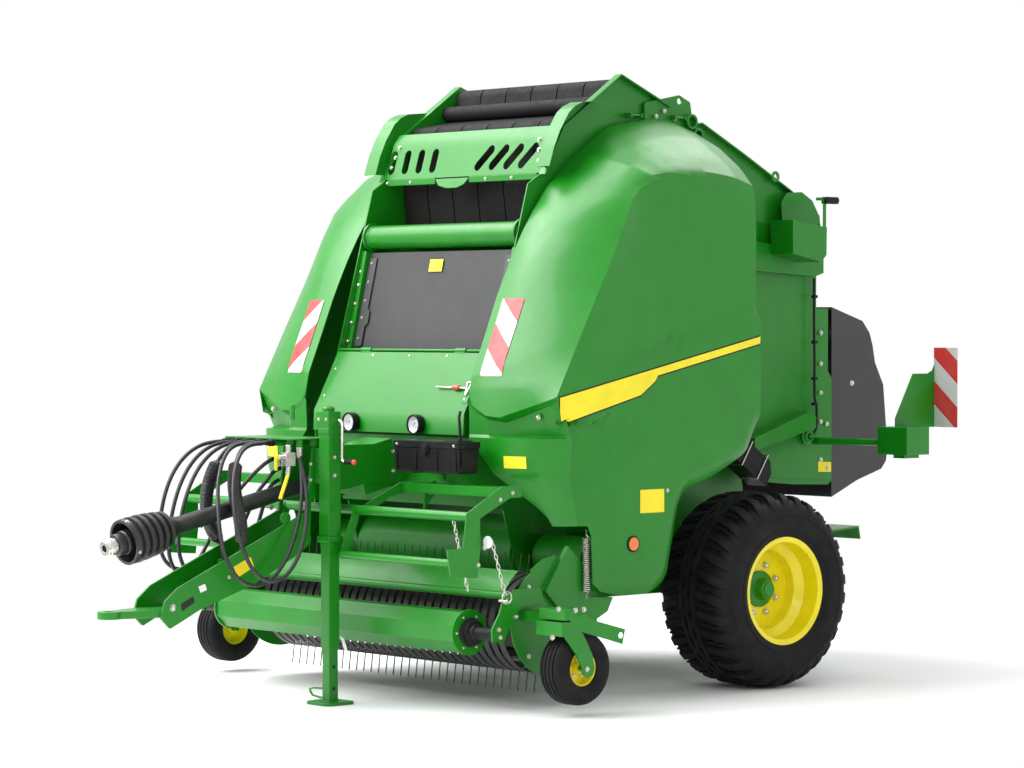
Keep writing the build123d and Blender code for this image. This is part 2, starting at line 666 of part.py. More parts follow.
# ---------------------------------------------------------------- frame above the pickup
frame_x = 1150.0
frame_plate = 8.0
upper_tube = (2066.0, 972.0)
upper_tube_r = 24.0
lower_tube = (2165.0, 752.0)
lower_tube_r = 20.0
strut_x = 290.0
with BuildPart() as crop_frame:
    add(bar_x(*upper_tube, upper_tube_r, -frame_x, frame_x))
    for sign in (1, -1):
        add(bar_x(*lower_tube, lower_tube_r, sign * (strut_x - frame_plate), sign * frame_x))
        add(block(sign * 330, sign * frame_x, 1740, 1820, 1056, 1104))
        add(slab([(1740, 1112), (1865, 1114), (2093, 990), (2116, 822), (2218, 823), (2195, 689), (2025, 676),
                  (2008, 809), (2008, 964), (1813, 1056), (1740, 1056)], sign * frame_x, -sign * frame_plate))
        add(slab([(2060, 950), (2060, 1000), (1830, 1104), (1780, 1060), (1900, 1030)], sign * 330,
                 sign * frame_plate))
        add(slab([(2040, 990), (2090, 990), (2188, 740), (2140, 735)], sign * strut_x, -sign * frame_plate))
        # arms back to the cross panel, and a holed plate that stands on the inner one
        add(block(sign * 440, sign * 500, 1610, 1760, 1085, 1098))
        with BuildSketch(Plane.YZ.offset(sign * 440)):
            Polygon(*outline([(1770, 968), (1763, 1085), (1700, 1112), (1662, 1085), (1740, 1000)]), align=None)
            with Locations(yz(1727, 1062)):
                Circle(22, mode=Mode.SUBTRACT)
        extrude(amount=sign * 8)
write(crop_frame.part, "crop_frame")

# ---------------------------------------------------------------- hoses and their holder
hose = 20.0                     # outside diameter of a hydraulic hose
gland_r = 16.0
tray_z = 1322.0                 # underside of the hose tray
tray_front = 2360.0
gland_front = tray_front + 15
gland_z = tray_z - gland_r
manifold_front = 2165.0
hose_starts = (-382, -300, -220, -120, -20)
hose_sinks = (1228, 1172, 1116)             # heights of the three hoses on the manifold's face
hose_drops = ((70, 2262, 1285), (112, 2300, 1285))
sink_x = -156.0
with BuildPart() as hose_bracket:
    add(block(-430, 128, 2080, tray_front, tray_z, tray_z + 6))
    add(block(-430, 128, 2080, 2086, tray_z - 20, tray_z))
    for sign in (1, -1):
        add(block(sign * drawbar_x, sign * (drawbar_x - 50), 2100, 2200, 1290, tray_z))
    for x in hose_starts:
        with BuildSketch(Plane.XZ.offset(2290 - axle_y)):
            with Locations((x, gland_z)):
                Circle(gland_r)
        extrude(amount=gland_front - 2290)
    for x, ahead, height in hose_drops:
        with BuildSketch(Plane.XY.offset(height)):
            with Locations((x, axle_y - ahead)):
                Circle(gland_r)
        extrude(amount=tray_z - height)
    # manifold on the right-hand plate, and a post on a round gusset on the left-hand one
    add(block(-drawbar_x - 70, -drawbar_x, manifold_front - 70, manifold_front, 1086, 1258))
    add(bar_x(2390, 925, 62, drawbar_x, drawbar_x + 12))
    with BuildSketch(Plane.XY.offset(930)):
        with Locations((drawbar_x + 6, axle_y - 2356)):
            Circle(13)
    extrude(amount=1425 - 930)
write(hose_bracket.part, "hose_bracket")


def routed(points, thick):
    """A round tube of straight runs joined by tangent arcs, and its smallest radius."""
    spots = [Vector(x, axle_y - ahead, height) for x, ahead, height in points]
    radii = []
    for before, corner, after in zip(spots, spots[1:], spots[2:]):
        turn = radians((corner - before).get_angle(after - corner))
        run = min((corner - before).length, (after - corner).length)
        radii.append(0.45 * run / tan(turn / 2))
    with BuildPart() as made:
        with BuildLine() as line:
            path = FilletPolyline(*spots, radius=radii)
        with BuildSketch(Plane(origin=path @ 0, z_dir=path % 0)):
            Circle(thick / 2)
        sweep(path=path)
    length = sum(edge.length for edge in line.edges())
    runs = [(b - a).length for a, b in zip(spots, spots[1:])]
    off = made.part.volume / (pi * thick ** 2 / 4 * length) - 1
    print(f"length {length:.0f}, runs {min(runs):.0f} to {max(runs):.0f}, radii {min(radii):.0f} up, "
          f"volume off by {100 * off:.2f} %, radii", [round(radius) for radius in radii])
    return made.part


hose_routes = (
    ((hose_starts[0], gland_front, gland_z), (hose_starts[0], 2480, gland_z), (-385, 2590, 1275),
     (-388, 2685, 1200), (-389, 2750, 1095), (-389, 2788, 970), (-388, 2800, 850), (-386, 2792, 742),
     (-382, 2735, 676), (-373, 2652, 662), (-358, 2580, 706), (-340, 2532, 800), (-312, 2490, 905),
     (-272, 2445, 1005), (-226, 2392, 1092), (-188, 2338, 1162), (-163, 2287, 1208), (sink_x, 2222, hose_sinks[0]),
     (sink_x, manifold_front, hose_sinks[0])),
    ((hose_starts[1], gland_front, gland_z), (hose_starts[1], 2475, gland_z), (-302, 2580, 1274),
     (-304, 2668, 1202), (-305, 2734, 1100), (-305, 2777, 980), (-305, 2801, 860), (-303, 2806, 742),
     (-298, 2762, 652), (-290, 2680, 600), (-280, 2588, 604), (-268, 2512, 660), (-252, 2455, 750),
     (-230, 2412, 855), (-206, 2378, 955), (-184, 2342, 1050), (-162, 2293, 1113), (-158, 2261, 1151),
     (sink_x, 2215, hose_sinks[1]), (sink_x, manifold_front, hose_sinks[1])),
    ((hose_starts[2], gland_front, gland_z), (hose_starts[2], 2470, gland_z), (-223, 2572, 1275),
     (-226, 2660, 1205), (-227, 2727, 1105), (-228, 2771, 990), (-228, 2797, 870), (-226, 2800, 755),
     (-222, 2752, 658), (-214, 2662, 602), (-206, 2560, 600), (-198, 2470, 648), (-190, 2402, 732),
     (-182, 2360, 830), (-172, 2330, 930), (-162, 2293, 1057), (-158, 2261, 1095), (sink_x, 2215, hose_sinks[2]),
     (sink_x, manifold_front, hose_sinks[2])),
    ((hose_starts[3], gland_front, gland_z), (hose_starts[3], 2468, gland_z), (-95, 2575, 1288),
     (-35, 2672, 1222), (28, 2745, 1120), (92, 2792, 1000), (148, 2820, 865), (188, 2812, 740), (204, 2748, 645),
     (208, 2650, 610), (208, 2548, 640), (202, 2462, 722), (188, 2395, 830), (168, 2345, 940), (140, 2307, 1042),
     (104, 2280, 1128), (hose_drops[0][0], hose_drops[0][1], 1204), hose_drops[0]),
    ((hose_starts[4], gland_front, gland_z), (hose_starts[4], 2462, gland_z), (5, 2560, 1290),
     (56, 2645, 1236), (112, 2712, 1145), (164, 2752, 1035), (208, 2766, 915), (240, 2752, 800), (254, 2700, 690),
     (258, 2608, 632), (258, 2505, 650), (254, 2425, 735), (244, 2372, 850), (222, 2340, 965), (190, 2318, 1070),
     (150, 2304, 1155), (hose_drops[1][0], hose_drops[1][1], 1220), hose_drops[1]),
)
for number, points in enumerate(hose_routes, 1):
    write(routed(points, hose), f"hose_{number}")

# two pairs of hoses in ribbed sleeves, held at both ends
sleeve = 72.0
sleeve_routes = (
    ((-160, gland_front + 2, 1306), (-160, 2462, 1306), (-155, 2545, 1286), (-146, 2622, 1215), (-140, 2685, 1100),
     (-135, 2700, 970), (-118, 2680, 880), (-86, 2650, 820), (*sleeve_ends[0][:2], 780), sleeve_ends[0]),
    ((-70, gland_front + 2, 1306), (-70, 2462, 1306), (-38, 2555, 1282), (0, 2620, 1195), (52, 2665, 1080),
     (104, 2668, 955), (104, 2655, 870), (86, 2640, 810), (*sleeve_ends[1][:2], 775), sleeve_ends[1]),
)
with BuildPart() as hose_sleeves:
    for points in sleeve_routes:
        add(routed(points, hose))
        with BuildPart(mode=Mode.PRIVATE) as wide:
            add(routed(points[3:6], sleeve))
        add(wide.part)
write(hose_sleeves.part, "hose_sleeves")

with BuildPart() as wheel_chocks:
    with BuildPart(mode=Mode.PRIVATE) as one_chock:
        with BuildSketch(Plane.YZ.offset(sheet_x + 60)):
            with Locations(yz(-215, 1166)):
                Rectangle(290, 130, rotation=-33.5)
        extrude(amount=150)
        add(slab([(-180, 1130), (-180, 1190), (-250, 1190), (-250, 1130)], sheet_x, 60))
    add(both_sides(one_chock.part))
write(wheel_chocks.part, "wheel_chocks")

# ---------------------------------------------------------------- pickup
with BuildPart() as pickup_frame:
    add(block(-pickup_plate_x, pickup_plate_x, 1215, 1285, 365, 435))
    for sign in (1, -1):
        with BuildSketch(Plane.YZ.offset(sign * pickup_plate_x)):
            with Locations(yz(1480, 440)):
                Circle(285)
            Polygon(*outline([(1640, 690), (1560, 742), (1475, 760), (1400, 720), (1285, 640), (1190, 560), (1190, 360),
                              (1300, 300)]), align=None)
            with Locations(yz(*reel_axis)):
                Circle(reel_shaft_r + fit, mode=Mode.SUBTRACT)
        extrude(amount=sign * pickup_plate)
        add(slab([(1560, 585), (1410, 802), (1318, 716), (1315, 575), (1254, 541), (1107, 533), (1144, 464),
                  (1230, 424), (1330, 420), (1450, 470)], sign * (pickup_plate_x + pickup_plate), sign * 28))
        arm_x = sheet_x + 10
        add(slab([(850, 720), (850, 800), (940, 815), (1300, 430), (1215, 370)], sign * arm_x, sign * 14, 0))
        with BuildSketch(Plane.YZ.offset(sign * (arm_x - 1))):
            with Locations(yz(*pickup_pivot)):
                Circle(30 + fit)
        extrude(amount=sign * 16, mode=Mode.SUBTRACT)
write(pickup_frame.part, "pickup_frame")

with BuildPart() as stripper_bands:
    tine_count = 33
    tine_pitch = 2 * 976 / (tine_count - 1)
    band = tine_pitch - 20
    for index in range(tine_count - 1):
        x = -976 + index * tine_pitch + 10
        with BuildSketch(Plane.YZ.offset(x)):
            with Locations(yz(*reel_axis)):
                Circle(band_r)
                Circle(band_r - 4, mode=Mode.SUBTRACT)
            with Locations(yz(band_back - 250, reel_axis[1])):
                Rectangle(500, 3 * band_r, mode=Mode.SUBTRACT)
        extrude(amount=band)
    for height in (-1, 1):
        add(block(-pickup_plate_x, pickup_plate_x, band_back, band_back + 20,
                  reel_axis[1] + height * 222 - 12, reel_axis[1] + height * 222 + 12))
write(stripper_bands.part, "stripper_bands")

with BuildPart() as pickup_reel:
    add(bar_x(*reel_axis, reel_shaft_r, -pickup_plate_x - pickup_plate, pickup_plate_x + pickup_plate))
    for x in range(-1050, 1051, reel_disc_pitch):
        add(bar_x(*reel_axis, tine_bar_r + 22, x - 5, x + 5))
    for quarter in range(4):
        turn = radians(90 * quarter)
        add(bar_x(reel_axis[0] + tine_bar_r * cos(turn), reel_axis[1] + tine_bar_r * sin(turn), 17, -1060, 1060))
write(pickup_reel.part, "pickup_reel")

with BuildPart() as windguard:
    add(bar_x(1790, 575, 20, -guard_arm_x, guard_arm_x))
    for sign in (1, -1):
        add(slab([(1955, 366), (1958, 425), (1908, 500), (1886, 570), (1810, 612), (1640, 610), (1620, 540),
                  (1770, 525), (1842, 430), (1882, 358)], sign * guard_arm_x, sign * 10, 8))
        add(bar_x(1650, 572, 22, sign * (pickup_plate_x + pickup_plate), sign * guard_arm_x))
        with BuildSketch(Plane.YZ.offset(sign * (guard_arm_x - 1))):
            with Locations(yz(*guard_roller_axis)):
                Circle(15 + fit)
        extrude(amount=sign * 12, mode=Mode.SUBTRACT)
    add(slab(strip([(1700, 690), (1755, 640), (1790, 585)], 3.0), -1080, 2160))
write(windguard.part, "windguard")

with BuildPart() as windguard_roller:
    with BuildSketch(Plane.YZ.offset(-960)):
        with Locations(yz(*guard_roller_axis)):
            RegularPolygon(guard_roller_r, 8, rotation=22.5)
            RegularPolygon(guard_roller_r - 4, 8, rotation=22.5, mode=Mode.SUBTRACT)
    extrude(amount=1920)
    for sign in (1, -1):
        add(bar_x(*guard_roller_axis, guard_roller_r + 4, sign * 960, sign * 972))
        add(bar_x(*guard_roller_axis, 58, sign * 972, sign * 1012))
        add(bar_x(*guard_roller_axis, 30, sign * 1012, sign * (guard_arm_x - 2)))
        add(bar_x(*guard_roller_axis, 15, sign * (guard_arm_x - 2), sign * (guard_arm_x + 10)))
write(windguard_roller.part, "windguard_roller")

gauge_arm_x = gauge_x + gauge_w / 2 + 10.5
gauge_plate = 10.0
with BuildPart() as gauge_arms:
    for sign in (1, -1):
        inner_end = sign * (gauge_x - gauge_w / 2 - 8)
        outer_end = sign * (gauge_arm_x + gauge_plate)
        add(block(sign * (pickup_plate_x + pickup_plate), outer_end, 1625, 1695, 448, 500))
        add(block(inner_end, outer_end, 1722, 1790, 402, 470))
        add(block(inner_end, outer_end, 1695, 1770, 478, 530))
        add(block(inner_end, inner_end + sign * 40, 1695, 1722, 440, 490))
        # bent plate down to the wheel's bolt, and the adjusting bar behind it
        add(slab([(1777, 469), (1672, 441), (1631, 378), (1589, 306), (1572, 236), (1588, 204), (1618, 194),
                  (1650, 212), (1658, 250), (1695, 313), (1765, 395)], sign * gauge_arm_x, sign * gauge_plate))
        add(slab([(1775, 522), (1372, 414), (1390, 342), (1700, 430)], sign * (gauge_arm_x + gauge_plate),
                 sign * 14))
        add(bar_x(*gauge_axis, 12.5, sign * (gauge_x - gauge_w / 2), sign * (gauge_arm_x + gauge_plate + 12)))
        with BuildSketch(Plane.YZ.offset(sign * (gauge_arm_x + gauge_plate - 1))):
            with Locations(yz(1402, 386)):
                Circle(15)
        extrude(amount=sign * 20, mode=Mode.SUBTRACT)
write(gauge_arms.part, "gauge_arms")

for side, sign in (("left", 1), ("right", -1)):
    centre = (sign * gauge_x, axle_y - gauge_axis[0], gauge_axis[1])
    with BuildPart() as gauge_tyre:
        with BuildSketch(Plane(origin=centre, x_dir=(0, 0, 1), z_dir=(0, 1, 0))):
            with BuildLine():
                Polyline((88, -52), (128, -gauge_w / 2), (152, -gauge_w / 2))
                ThreePointArc((152, -gauge_w / 2), (gauge_r, 0), (152, gauge_w / 2))
                Polyline((152, gauge_w / 2), (128, gauge_w / 2), (88, 52), (88, -52))
            make_face()
        revolve(axis=Axis(centre, (1, 0, 0)))
    write(gauge_tyre.part, f"gauge_tyre_{side}")
    with BuildPart() as gauge_rim:
        with BuildSketch(Plane(origin=centre, x_dir=(0, 0, 1), z_dir=(0, 1, 0))):
            Polygon((88, -56), (88, 56), (80, 56), (76, 8), (30, 8), (30, 40), (12.5 + fit, 40), (12.5 + fit, -40),
                    (30, -40), (30, -8), (76, -8), (80, -56), align=None)
        revolve(axis=Axis(centre, (1, 0, 0)))
    write(gauge_rim.part, f"gauge_rim_{side}")

# ---------------------------------------------------------------- feed rotor
with BuildPart() as feed_rotor:
    add(bar_x(*rotor_axis, rotor_r, -chamber_x + 8, chamber_x - 8))
    add(bar_x(*rotor_axis, rotor_shaft_r, -1058, 1058))
    for sign in (1, -1):
        add(bar_x(*rotor_axis, 110, sign * 690, sign * 1050))
write(feed_rotor.part, "feed_rotor")
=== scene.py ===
"""Looks of a towed round baler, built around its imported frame."""

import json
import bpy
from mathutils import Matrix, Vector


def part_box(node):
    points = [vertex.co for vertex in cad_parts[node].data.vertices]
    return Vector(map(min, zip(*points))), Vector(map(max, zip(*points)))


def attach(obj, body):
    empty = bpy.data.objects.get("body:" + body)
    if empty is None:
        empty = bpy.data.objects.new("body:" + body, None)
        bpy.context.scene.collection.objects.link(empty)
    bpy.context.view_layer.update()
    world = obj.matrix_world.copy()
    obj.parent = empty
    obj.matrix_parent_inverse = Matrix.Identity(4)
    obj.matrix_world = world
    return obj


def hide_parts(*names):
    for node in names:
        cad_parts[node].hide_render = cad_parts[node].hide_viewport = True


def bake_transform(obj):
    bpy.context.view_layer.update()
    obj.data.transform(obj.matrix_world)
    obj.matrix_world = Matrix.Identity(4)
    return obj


bl_info = {
    "name": "Round Baler Looks",
    "version": (1, 0, 0),
    "blender": (4, 5, 0),
    "location": "3D View > Sidebar > Baler",
    "description": "Builds the finishes and fine pieces of a towed round baler around its frame",
    "category": "Object",
}

from math import copysign, cos, hypot, pi, radians, sin

import bmesh
import bpy
import numpy as np
from bpy.props import FloatProperty, FloatVectorProperty, IntProperty, PointerProperty
from mathutils import Matrix, Vector

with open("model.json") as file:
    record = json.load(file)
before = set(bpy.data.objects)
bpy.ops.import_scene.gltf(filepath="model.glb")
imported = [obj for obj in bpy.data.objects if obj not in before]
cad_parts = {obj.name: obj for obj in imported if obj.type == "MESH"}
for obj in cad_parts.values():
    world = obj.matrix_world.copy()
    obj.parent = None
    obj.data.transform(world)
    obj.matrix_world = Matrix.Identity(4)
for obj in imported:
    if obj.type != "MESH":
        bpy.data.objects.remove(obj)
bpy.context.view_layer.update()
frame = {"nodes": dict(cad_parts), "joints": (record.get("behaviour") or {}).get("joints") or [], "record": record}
PLACE = {joint["name"]: Vector(joint["pos_m"]) for joint in frame["joints"] if "pos_m" in joint}
AXLE = PLACE["wheel_left_spin"]
BODY_OF = {node: body for body, nodes in frame["record"]["behaviour"]["bodies"].items() for node in nodes}
SLOT_OF = {part["node"]: part["material_slot"] for part in frame["record"]["subparts"]}
SIDES = (("left", 1), ("right", -1))
X_AXIS = Vector((1, 0, 0))
Z_AXIS = Vector((0, 0, 1))


def at(x, ahead, height):
    """A point from its distance ahead of the axle and its height, in metres."""
    return Vector((x, AXLE.y - ahead, height))


def around(x, ahead, height, radius, count, start=0.0):
    """Points spread evenly around a circle that is square to X."""
    angles = [start + 2 * pi * step / count for step in range(count)]
    return [at(x, ahead + radius * cos(angle), height + radius * sin(angle)) for angle in angles]


def both_sides(x, size, places):
    """Bolt spots that face outwards on both sides, from (ahead, height) places."""
    return [(at(way * x, *place), (way, 0, 0), size) for way in (-1, 1) for place in places]


# ---------------------------------------------------------------- node maths
class Wire:
    """A node's value: Python arithmetic on it adds Math nodes."""

    def __init__(self, tree, socket):
        self.tree = tree
        self.socket = socket

    def _op(self, operation, *values):
        node = self.tree.nodes.new("ShaderNodeMath")
        node.operation = operation
        for plug, value in zip(node.inputs, values):
            connect(self.tree, plug, value)
        return Wire(self.tree, node.outputs[0])

    def __add__(self, other):
        return self._op("ADD", self, other)

    def __sub__(self, other):
        return self._op("SUBTRACT", self, other)

    def __mul__(self, other):
        return self._op("MULTIPLY", self, other)

    def __truediv__(self, other):
        return self._op("DIVIDE", self, other)

    def below(self, other):
        return self._op("LESS_THAN", self, other)

    def size(self):
        return self._op("ABSOLUTE", self)

    def sine(self):
        return self._op("SINE", self)

    def fraction(self):
        return self._op("FRACT", self)

    def largest(self, other):
        return self._op("MAXIMUM", self, other)


def connect(tree, plug, value):
    if isinstance(value, Wire):
        tree.links.new(value.socket, plug)
    elif hasattr(plug.default_value, "__len__") and len(plug.default_value) == 4 and len(value) == 3:
        plug.default_value = (*value, 1.0)
    else:
        plug.default_value = value


class Nodes:
    """A tree being written."""

    def __init__(self, tree):
        self.tree = tree

    def node(self, kind, settings=None, out=0, **sockets):
        """Adds a node, its settings first and then its sockets, and returns one output."""
        made = self.tree.nodes.new(kind)
        for key, value in (settings or {}).items():
            setattr(made, key, value)
        for key, value in sockets.items():
            connect(self.tree, made.inputs[int(key[1:]) if key[0] == "_" else key.replace("_", " ")], value)
        return Wire(self.tree, made.outputs[out])


class Finish(Nodes):
    """A material being written: its nodes and its surface."""

    def __init__(self, name):
        self.material = bpy.data.materials.new(name)
        self.material.use_nodes = True
        super().__init__(self.material.node_tree)
        self.surface = self.tree.nodes["Principled BSDF"]

    def place(self):
        return self.node("ShaderNodeTexCoord", out=3)

    def axes(self):
        """The X, Y and Z of the place on the object."""
        split = self.tree.nodes.new("ShaderNodeSeparateXYZ")
        self.tree.links.new(self.place().socket, split.inputs[0])
        return [Wire(self.tree, plug) for plug in split.outputs]

    def noise(self, scale, detail=2.0):
        return self.node("ShaderNodeTexNoise", Vector=self.place(), Scale=scale, Detail=detail)

    def ramp(self, factor, low, high, low_to=0.0, high_to=1.0):
        return self.node("ShaderNodeMapRange", _0=factor, _1=low, _2=high, _3=low_to, _4=high_to)

    def mix(self, factor, first, second):
        return self.node("ShaderNodeMix", {"data_type": "RGBA"}, out=2, _0=factor, _6=first, _7=second)

    def bump(self, height, strength, distance):
        return self.node("ShaderNodeBump", Strength=strength, Distance=distance, Height=height)

    def set(self, **sockets):
        for key, value in sockets.items():
            connect(self.tree, self.surface.inputs[key.replace("_", " ")], value)
        return self.material


# ---------------------------------------------------------------- finishes
def tinted(colour, share, more=0.0):
    return tuple(share * part + more for part in colour)


def paint(name, colour, gloss=0.48, coat=0.12, rough=0.38):
    """Enamel on sheet metal, with a faint orange peel and slight unevenness."""
    f = Finish(name)
    worn = f.ramp(f.noise(7.0, 4.0), 0.35, 0.7)
    uneven = f.ramp(f.noise(24.0), 0.3, 0.7, rough - 0.03, rough + 0.04)
    return f.set(Base_Color=f.mix(worn, colour, tinted(colour, 0.88)), Roughness=uneven,
                 Specular_IOR_Level=gloss, Coat_Weight=coat, Coat_Roughness=0.1,
                 Normal=f.bump(f.noise(380.0, 1.0), 0.05, 0.0005))


def rubber(name, colour, rough, grain, gloss):
    """Rubber or moulded plastic, a little dusty and grained."""
    f = Finish(name)
    dusty = f.ramp(f.noise(14.0, 5.0), 0.35, 0.75)
    uneven = f.ramp(f.noise(40.0, 3.0), 0.3, 0.7, rough - 0.07, rough + 0.07)
    return f.set(Base_Color=f.mix(dusty, colour, tinted(colour, 1.45, 0.003)), Roughness=uneven,
                 Specular_IOR_Level=gloss, Normal=f.bump(f.noise(grain, 3.0), 0.22, 0.0007))


def metal(name, colour, rough):
    """Plated or bare steel with a cloudy surface."""
    f = Finish(name)
    cloud = f.ramp(f.noise(60.0, 3.0), 0.3, 0.7)
    uneven = f.ramp(f.noise(90.0, 2.0), 0.3, 0.7, rough - 0.08, rough + 0.1)
    return f.set(Base_Color=f.mix(cloud, colour, tinted(colour, 0.75)), Metallic=1.0, Roughness=uneven,
                 Normal=f.bump(f.noise(160.0, 2.0), 0.15, 0.0005))


def warning_board(name):
    """Red and white bars that fall outwards on both sides of the machine."""
    f = Finish(name)
    x, _, z = f.axes()
    slope, first, pitch = 0.86, 2.654, 0.254
    red = ((z + x.size() * slope - first) / pitch + 20.0).fraction().below(0.5)
    grime = f.ramp(f.noise(20.0, 4.0), 0.3, 0.8, 0.0, 0.12)
    plain = f.mix(red, (0.58, 0.58, 0.58), (0.60, 0.025, 0.03))
    return f.set(Base_Color=f.mix(grime, plain, (0.45, 0.43, 0.40)), Roughness=0.35)


def ribbed_belt(name, colour):
    """Belt rubber with a woven grain and fine cross ribs."""
    f = Finish(name)
    x, _, z = f.axes()
    weave = ((x * 900.0).sine() * 0.25 + (z * 700.0).sine() * 0.25).largest(-0.2)
    dusty = f.ramp(f.noise(6.0, 5.0), 0.35, 0.75)
    uneven = f.ramp(f.noise(30.0), 0.3, 0.7, 0.55, 0.7)
    return f.set(Base_Color=f.mix(dusty, colour, tinted(colour, 1.35, 0.002)), Roughness=uneven,
                 Specular_IOR_Level=0.15, Normal=f.bump(weave, 0.12, 0.0006))


class BalerColours(bpy.types.PropertyGroup):
    """Colours of the machine."""
    green: FloatVectorProperty(name="Green", description="Body paint", subtype="COLOR", size=3,
                               default=(0.003, 0.200, 0.003))
    yellow: FloatVectorProperty(name="Yellow", description="Rims and stripe", subtype="COLOR", size=3,
                                default=(0.88, 0.75, 0.004))
    dark: FloatVectorProperty(name="Dark grey", description="Rear shield and front panel", subtype="COLOR",
                              size=3, default=(0.050, 0.050, 0.051))
    black: FloatVectorProperty(name="Black", description="Plastics", subtype="COLOR", size=3,
                               default=(0.006, 0.006, 0.0065))


class BalerWheels(bpy.types.PropertyGroup):
    """Sizes of the tread."""
    lugs: IntProperty(name="Lugs", description="Lugs around one shoulder of a main tyre", default=30, min=8)
    lug_height: FloatProperty(name="Lug height", description="How far a lug stands out", default=0.020,
                              unit="LENGTH")
    studs: IntProperty(name="Studs", description="Wheel studs on a hub", default=8, min=3)


class BalerPickup(bpy.types.PropertyGroup):
    """Sizes of the pickup's fine pieces."""
    tines: IntProperty(name="Tines", description="Tines on one bar", default=33, min=2)
    tine_width: FloatProperty(name="Tine wire", description="Diameter of a tine", default=0.0065,
                              unit="LENGTH")
    tine_reach: FloatProperty(name="Tine reach", description="From the reel's axis to a tine's tip",
                              default=0.341, unit="LENGTH")


class BalerBolts(bpy.types.PropertyGroup):
    """Sizes of the bolts."""
    head: FloatProperty(name="Head height", description="Height of a bolt's head as a share of its radius",
                        default=0.75)
    washer: FloatProperty(name="Washer", description="Washer radius as a share of the head's", default=1.35)


# each finish's maker and what it is given; a word is one of the colours in BalerColours
MAKERS = {
    "green_paint": (paint, "green"),
    "dark_paint": (paint, "dark", 0.35, 0.1, 0.42),
    "net_panel_paint": (paint, (0.060, 0.060, 0.062), 0.2, 0.0, 0.5),
    "yellow_paint": (paint, "yellow", 0.4, 0.4, 0.3),
    "tyre_rubber": (rubber, (0.008, 0.008, 0.0084), 0.56, 200.0, 0.12),
    "belt_rubber": (ribbed_belt, (0.0085, 0.008, 0.008)),
    "black_plastic": (rubber, "black", 0.42, 700.0, 0.2),
    "guard_plastic": (rubber, (0.013, 0.013, 0.013), 0.36, 900.0, 0.5),
    "hose_rubber": (rubber, (0.016, 0.016, 0.017), 0.4, 500.0, 0.5),
    "sleeve_plastic": (rubber, (0.014, 0.014, 0.014), 0.36, 600.0, 0.5),
    "bare_steel": (metal, (0.45, 0.45, 0.44), 0.4),
    "plated_steel": (metal, (0.72, 0.70, 0.64), 0.3),
    "tine_steel": (metal, (0.09, 0.085, 0.08), 0.45),
    "lamp_glass": (paint, (0.6, 0.62, 0.64), 0.8, 1.0, 0.1),
    "board_paint": (warning_board,),
    "label_yellow": (paint, (0.90, 0.74, 0.02), 0.3, 0.2, 0.4),
    "label_white": (paint, (0.85, 0.85, 0.85), 0.3, 0.2, 0.4),
    "label_black": (paint, (0.008, 0.008, 0.008), 0.3, 0.2, 0.4),
    "signal_red": (paint, (0.66, 0.03, 0.02), 0.5, 0.5, 0.3),
    "amber": (paint, (0.85, 0.18, 0.01), 0.6, 0.8, 0.2),
}
FINISHES = {}


def finish_for(slot):
    """The material of a finish, made once."""
    if slot not in FINISHES:
        maker, *given = MAKERS[slot]
        if given and isinstance(given[0], str):
            given[0] = tuple(getattr(bpy.context.scene.baler_colours, given[0]))
        FINISHES[slot] = maker(slot, *given)
    return FINISHES[slot]


# ---------------------------------------------------------------- making pieces
SHARP = radians(32)


def settle(obj, body, finish, bevel=0.0, segments=2, stands_for=(), sharp=SHARP):
    """Finishes a piece: rounded edges, smooth shading, its finish and the body that it rides on."""
    if bevel:
        rounding = obj.modifiers.new("rounding", "BEVEL")
        rounding.width = bevel
        rounding.segments = segments
        rounding.limit_method = "ANGLE"
        rounding.angle_limit = sharp
        rounding.use_clamp_overlap = True
        rounding.miter_outer = "MITER_ARC"
        even = obj.modifiers.new("even", "WEIGHTED_NORMAL")
        even.keep_sharp = True
        for polygon in obj.data.polygons:
            polygon.use_smooth = True
        bake_modifiers(obj)
    else:
        obj.data.shade_smooth()
        obj.data.set_sharp_from_angle(angle=sharp)
    if not obj.data.materials:
        obj.data.materials.append(finish_for(finish))
    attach(obj, body)
    if stands_for:
        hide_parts(*stands_for)
    return obj


def bake_modifiers(obj):
    """Turns what the modifiers make into the object's own plain mesh."""
    bpy.context.view_layer.update()
    depsgraph = bpy.context.evaluated_depsgraph_get()
    made = bpy.data.meshes.new_from_object(obj.evaluated_get(depsgraph), preserve_all_data_layers=True,
                                           depsgraph=depsgraph)
    obj.modifiers.clear()
    obj.data = made
    return obj


def new_object(name, data):
    obj = bpy.data.objects.new(name, data)
    bpy.context.scene.collection.objects.link(obj)
    return obj


def mesh_from(bm, name):
    mesh = bpy.data.meshes.new(name)
    bm.to_mesh(mesh)
    bm.free()
    return mesh


def frame_along(direction):
    """Two vectors square to a direction and to each other."""
    forward = Vector(direction).normalized()
    side = forward.cross(Z_AXIS)
    if side.length < 0.1:
        side = forward.cross(X_AXIS)
    side.normalize()
    return side, forward.cross(side)


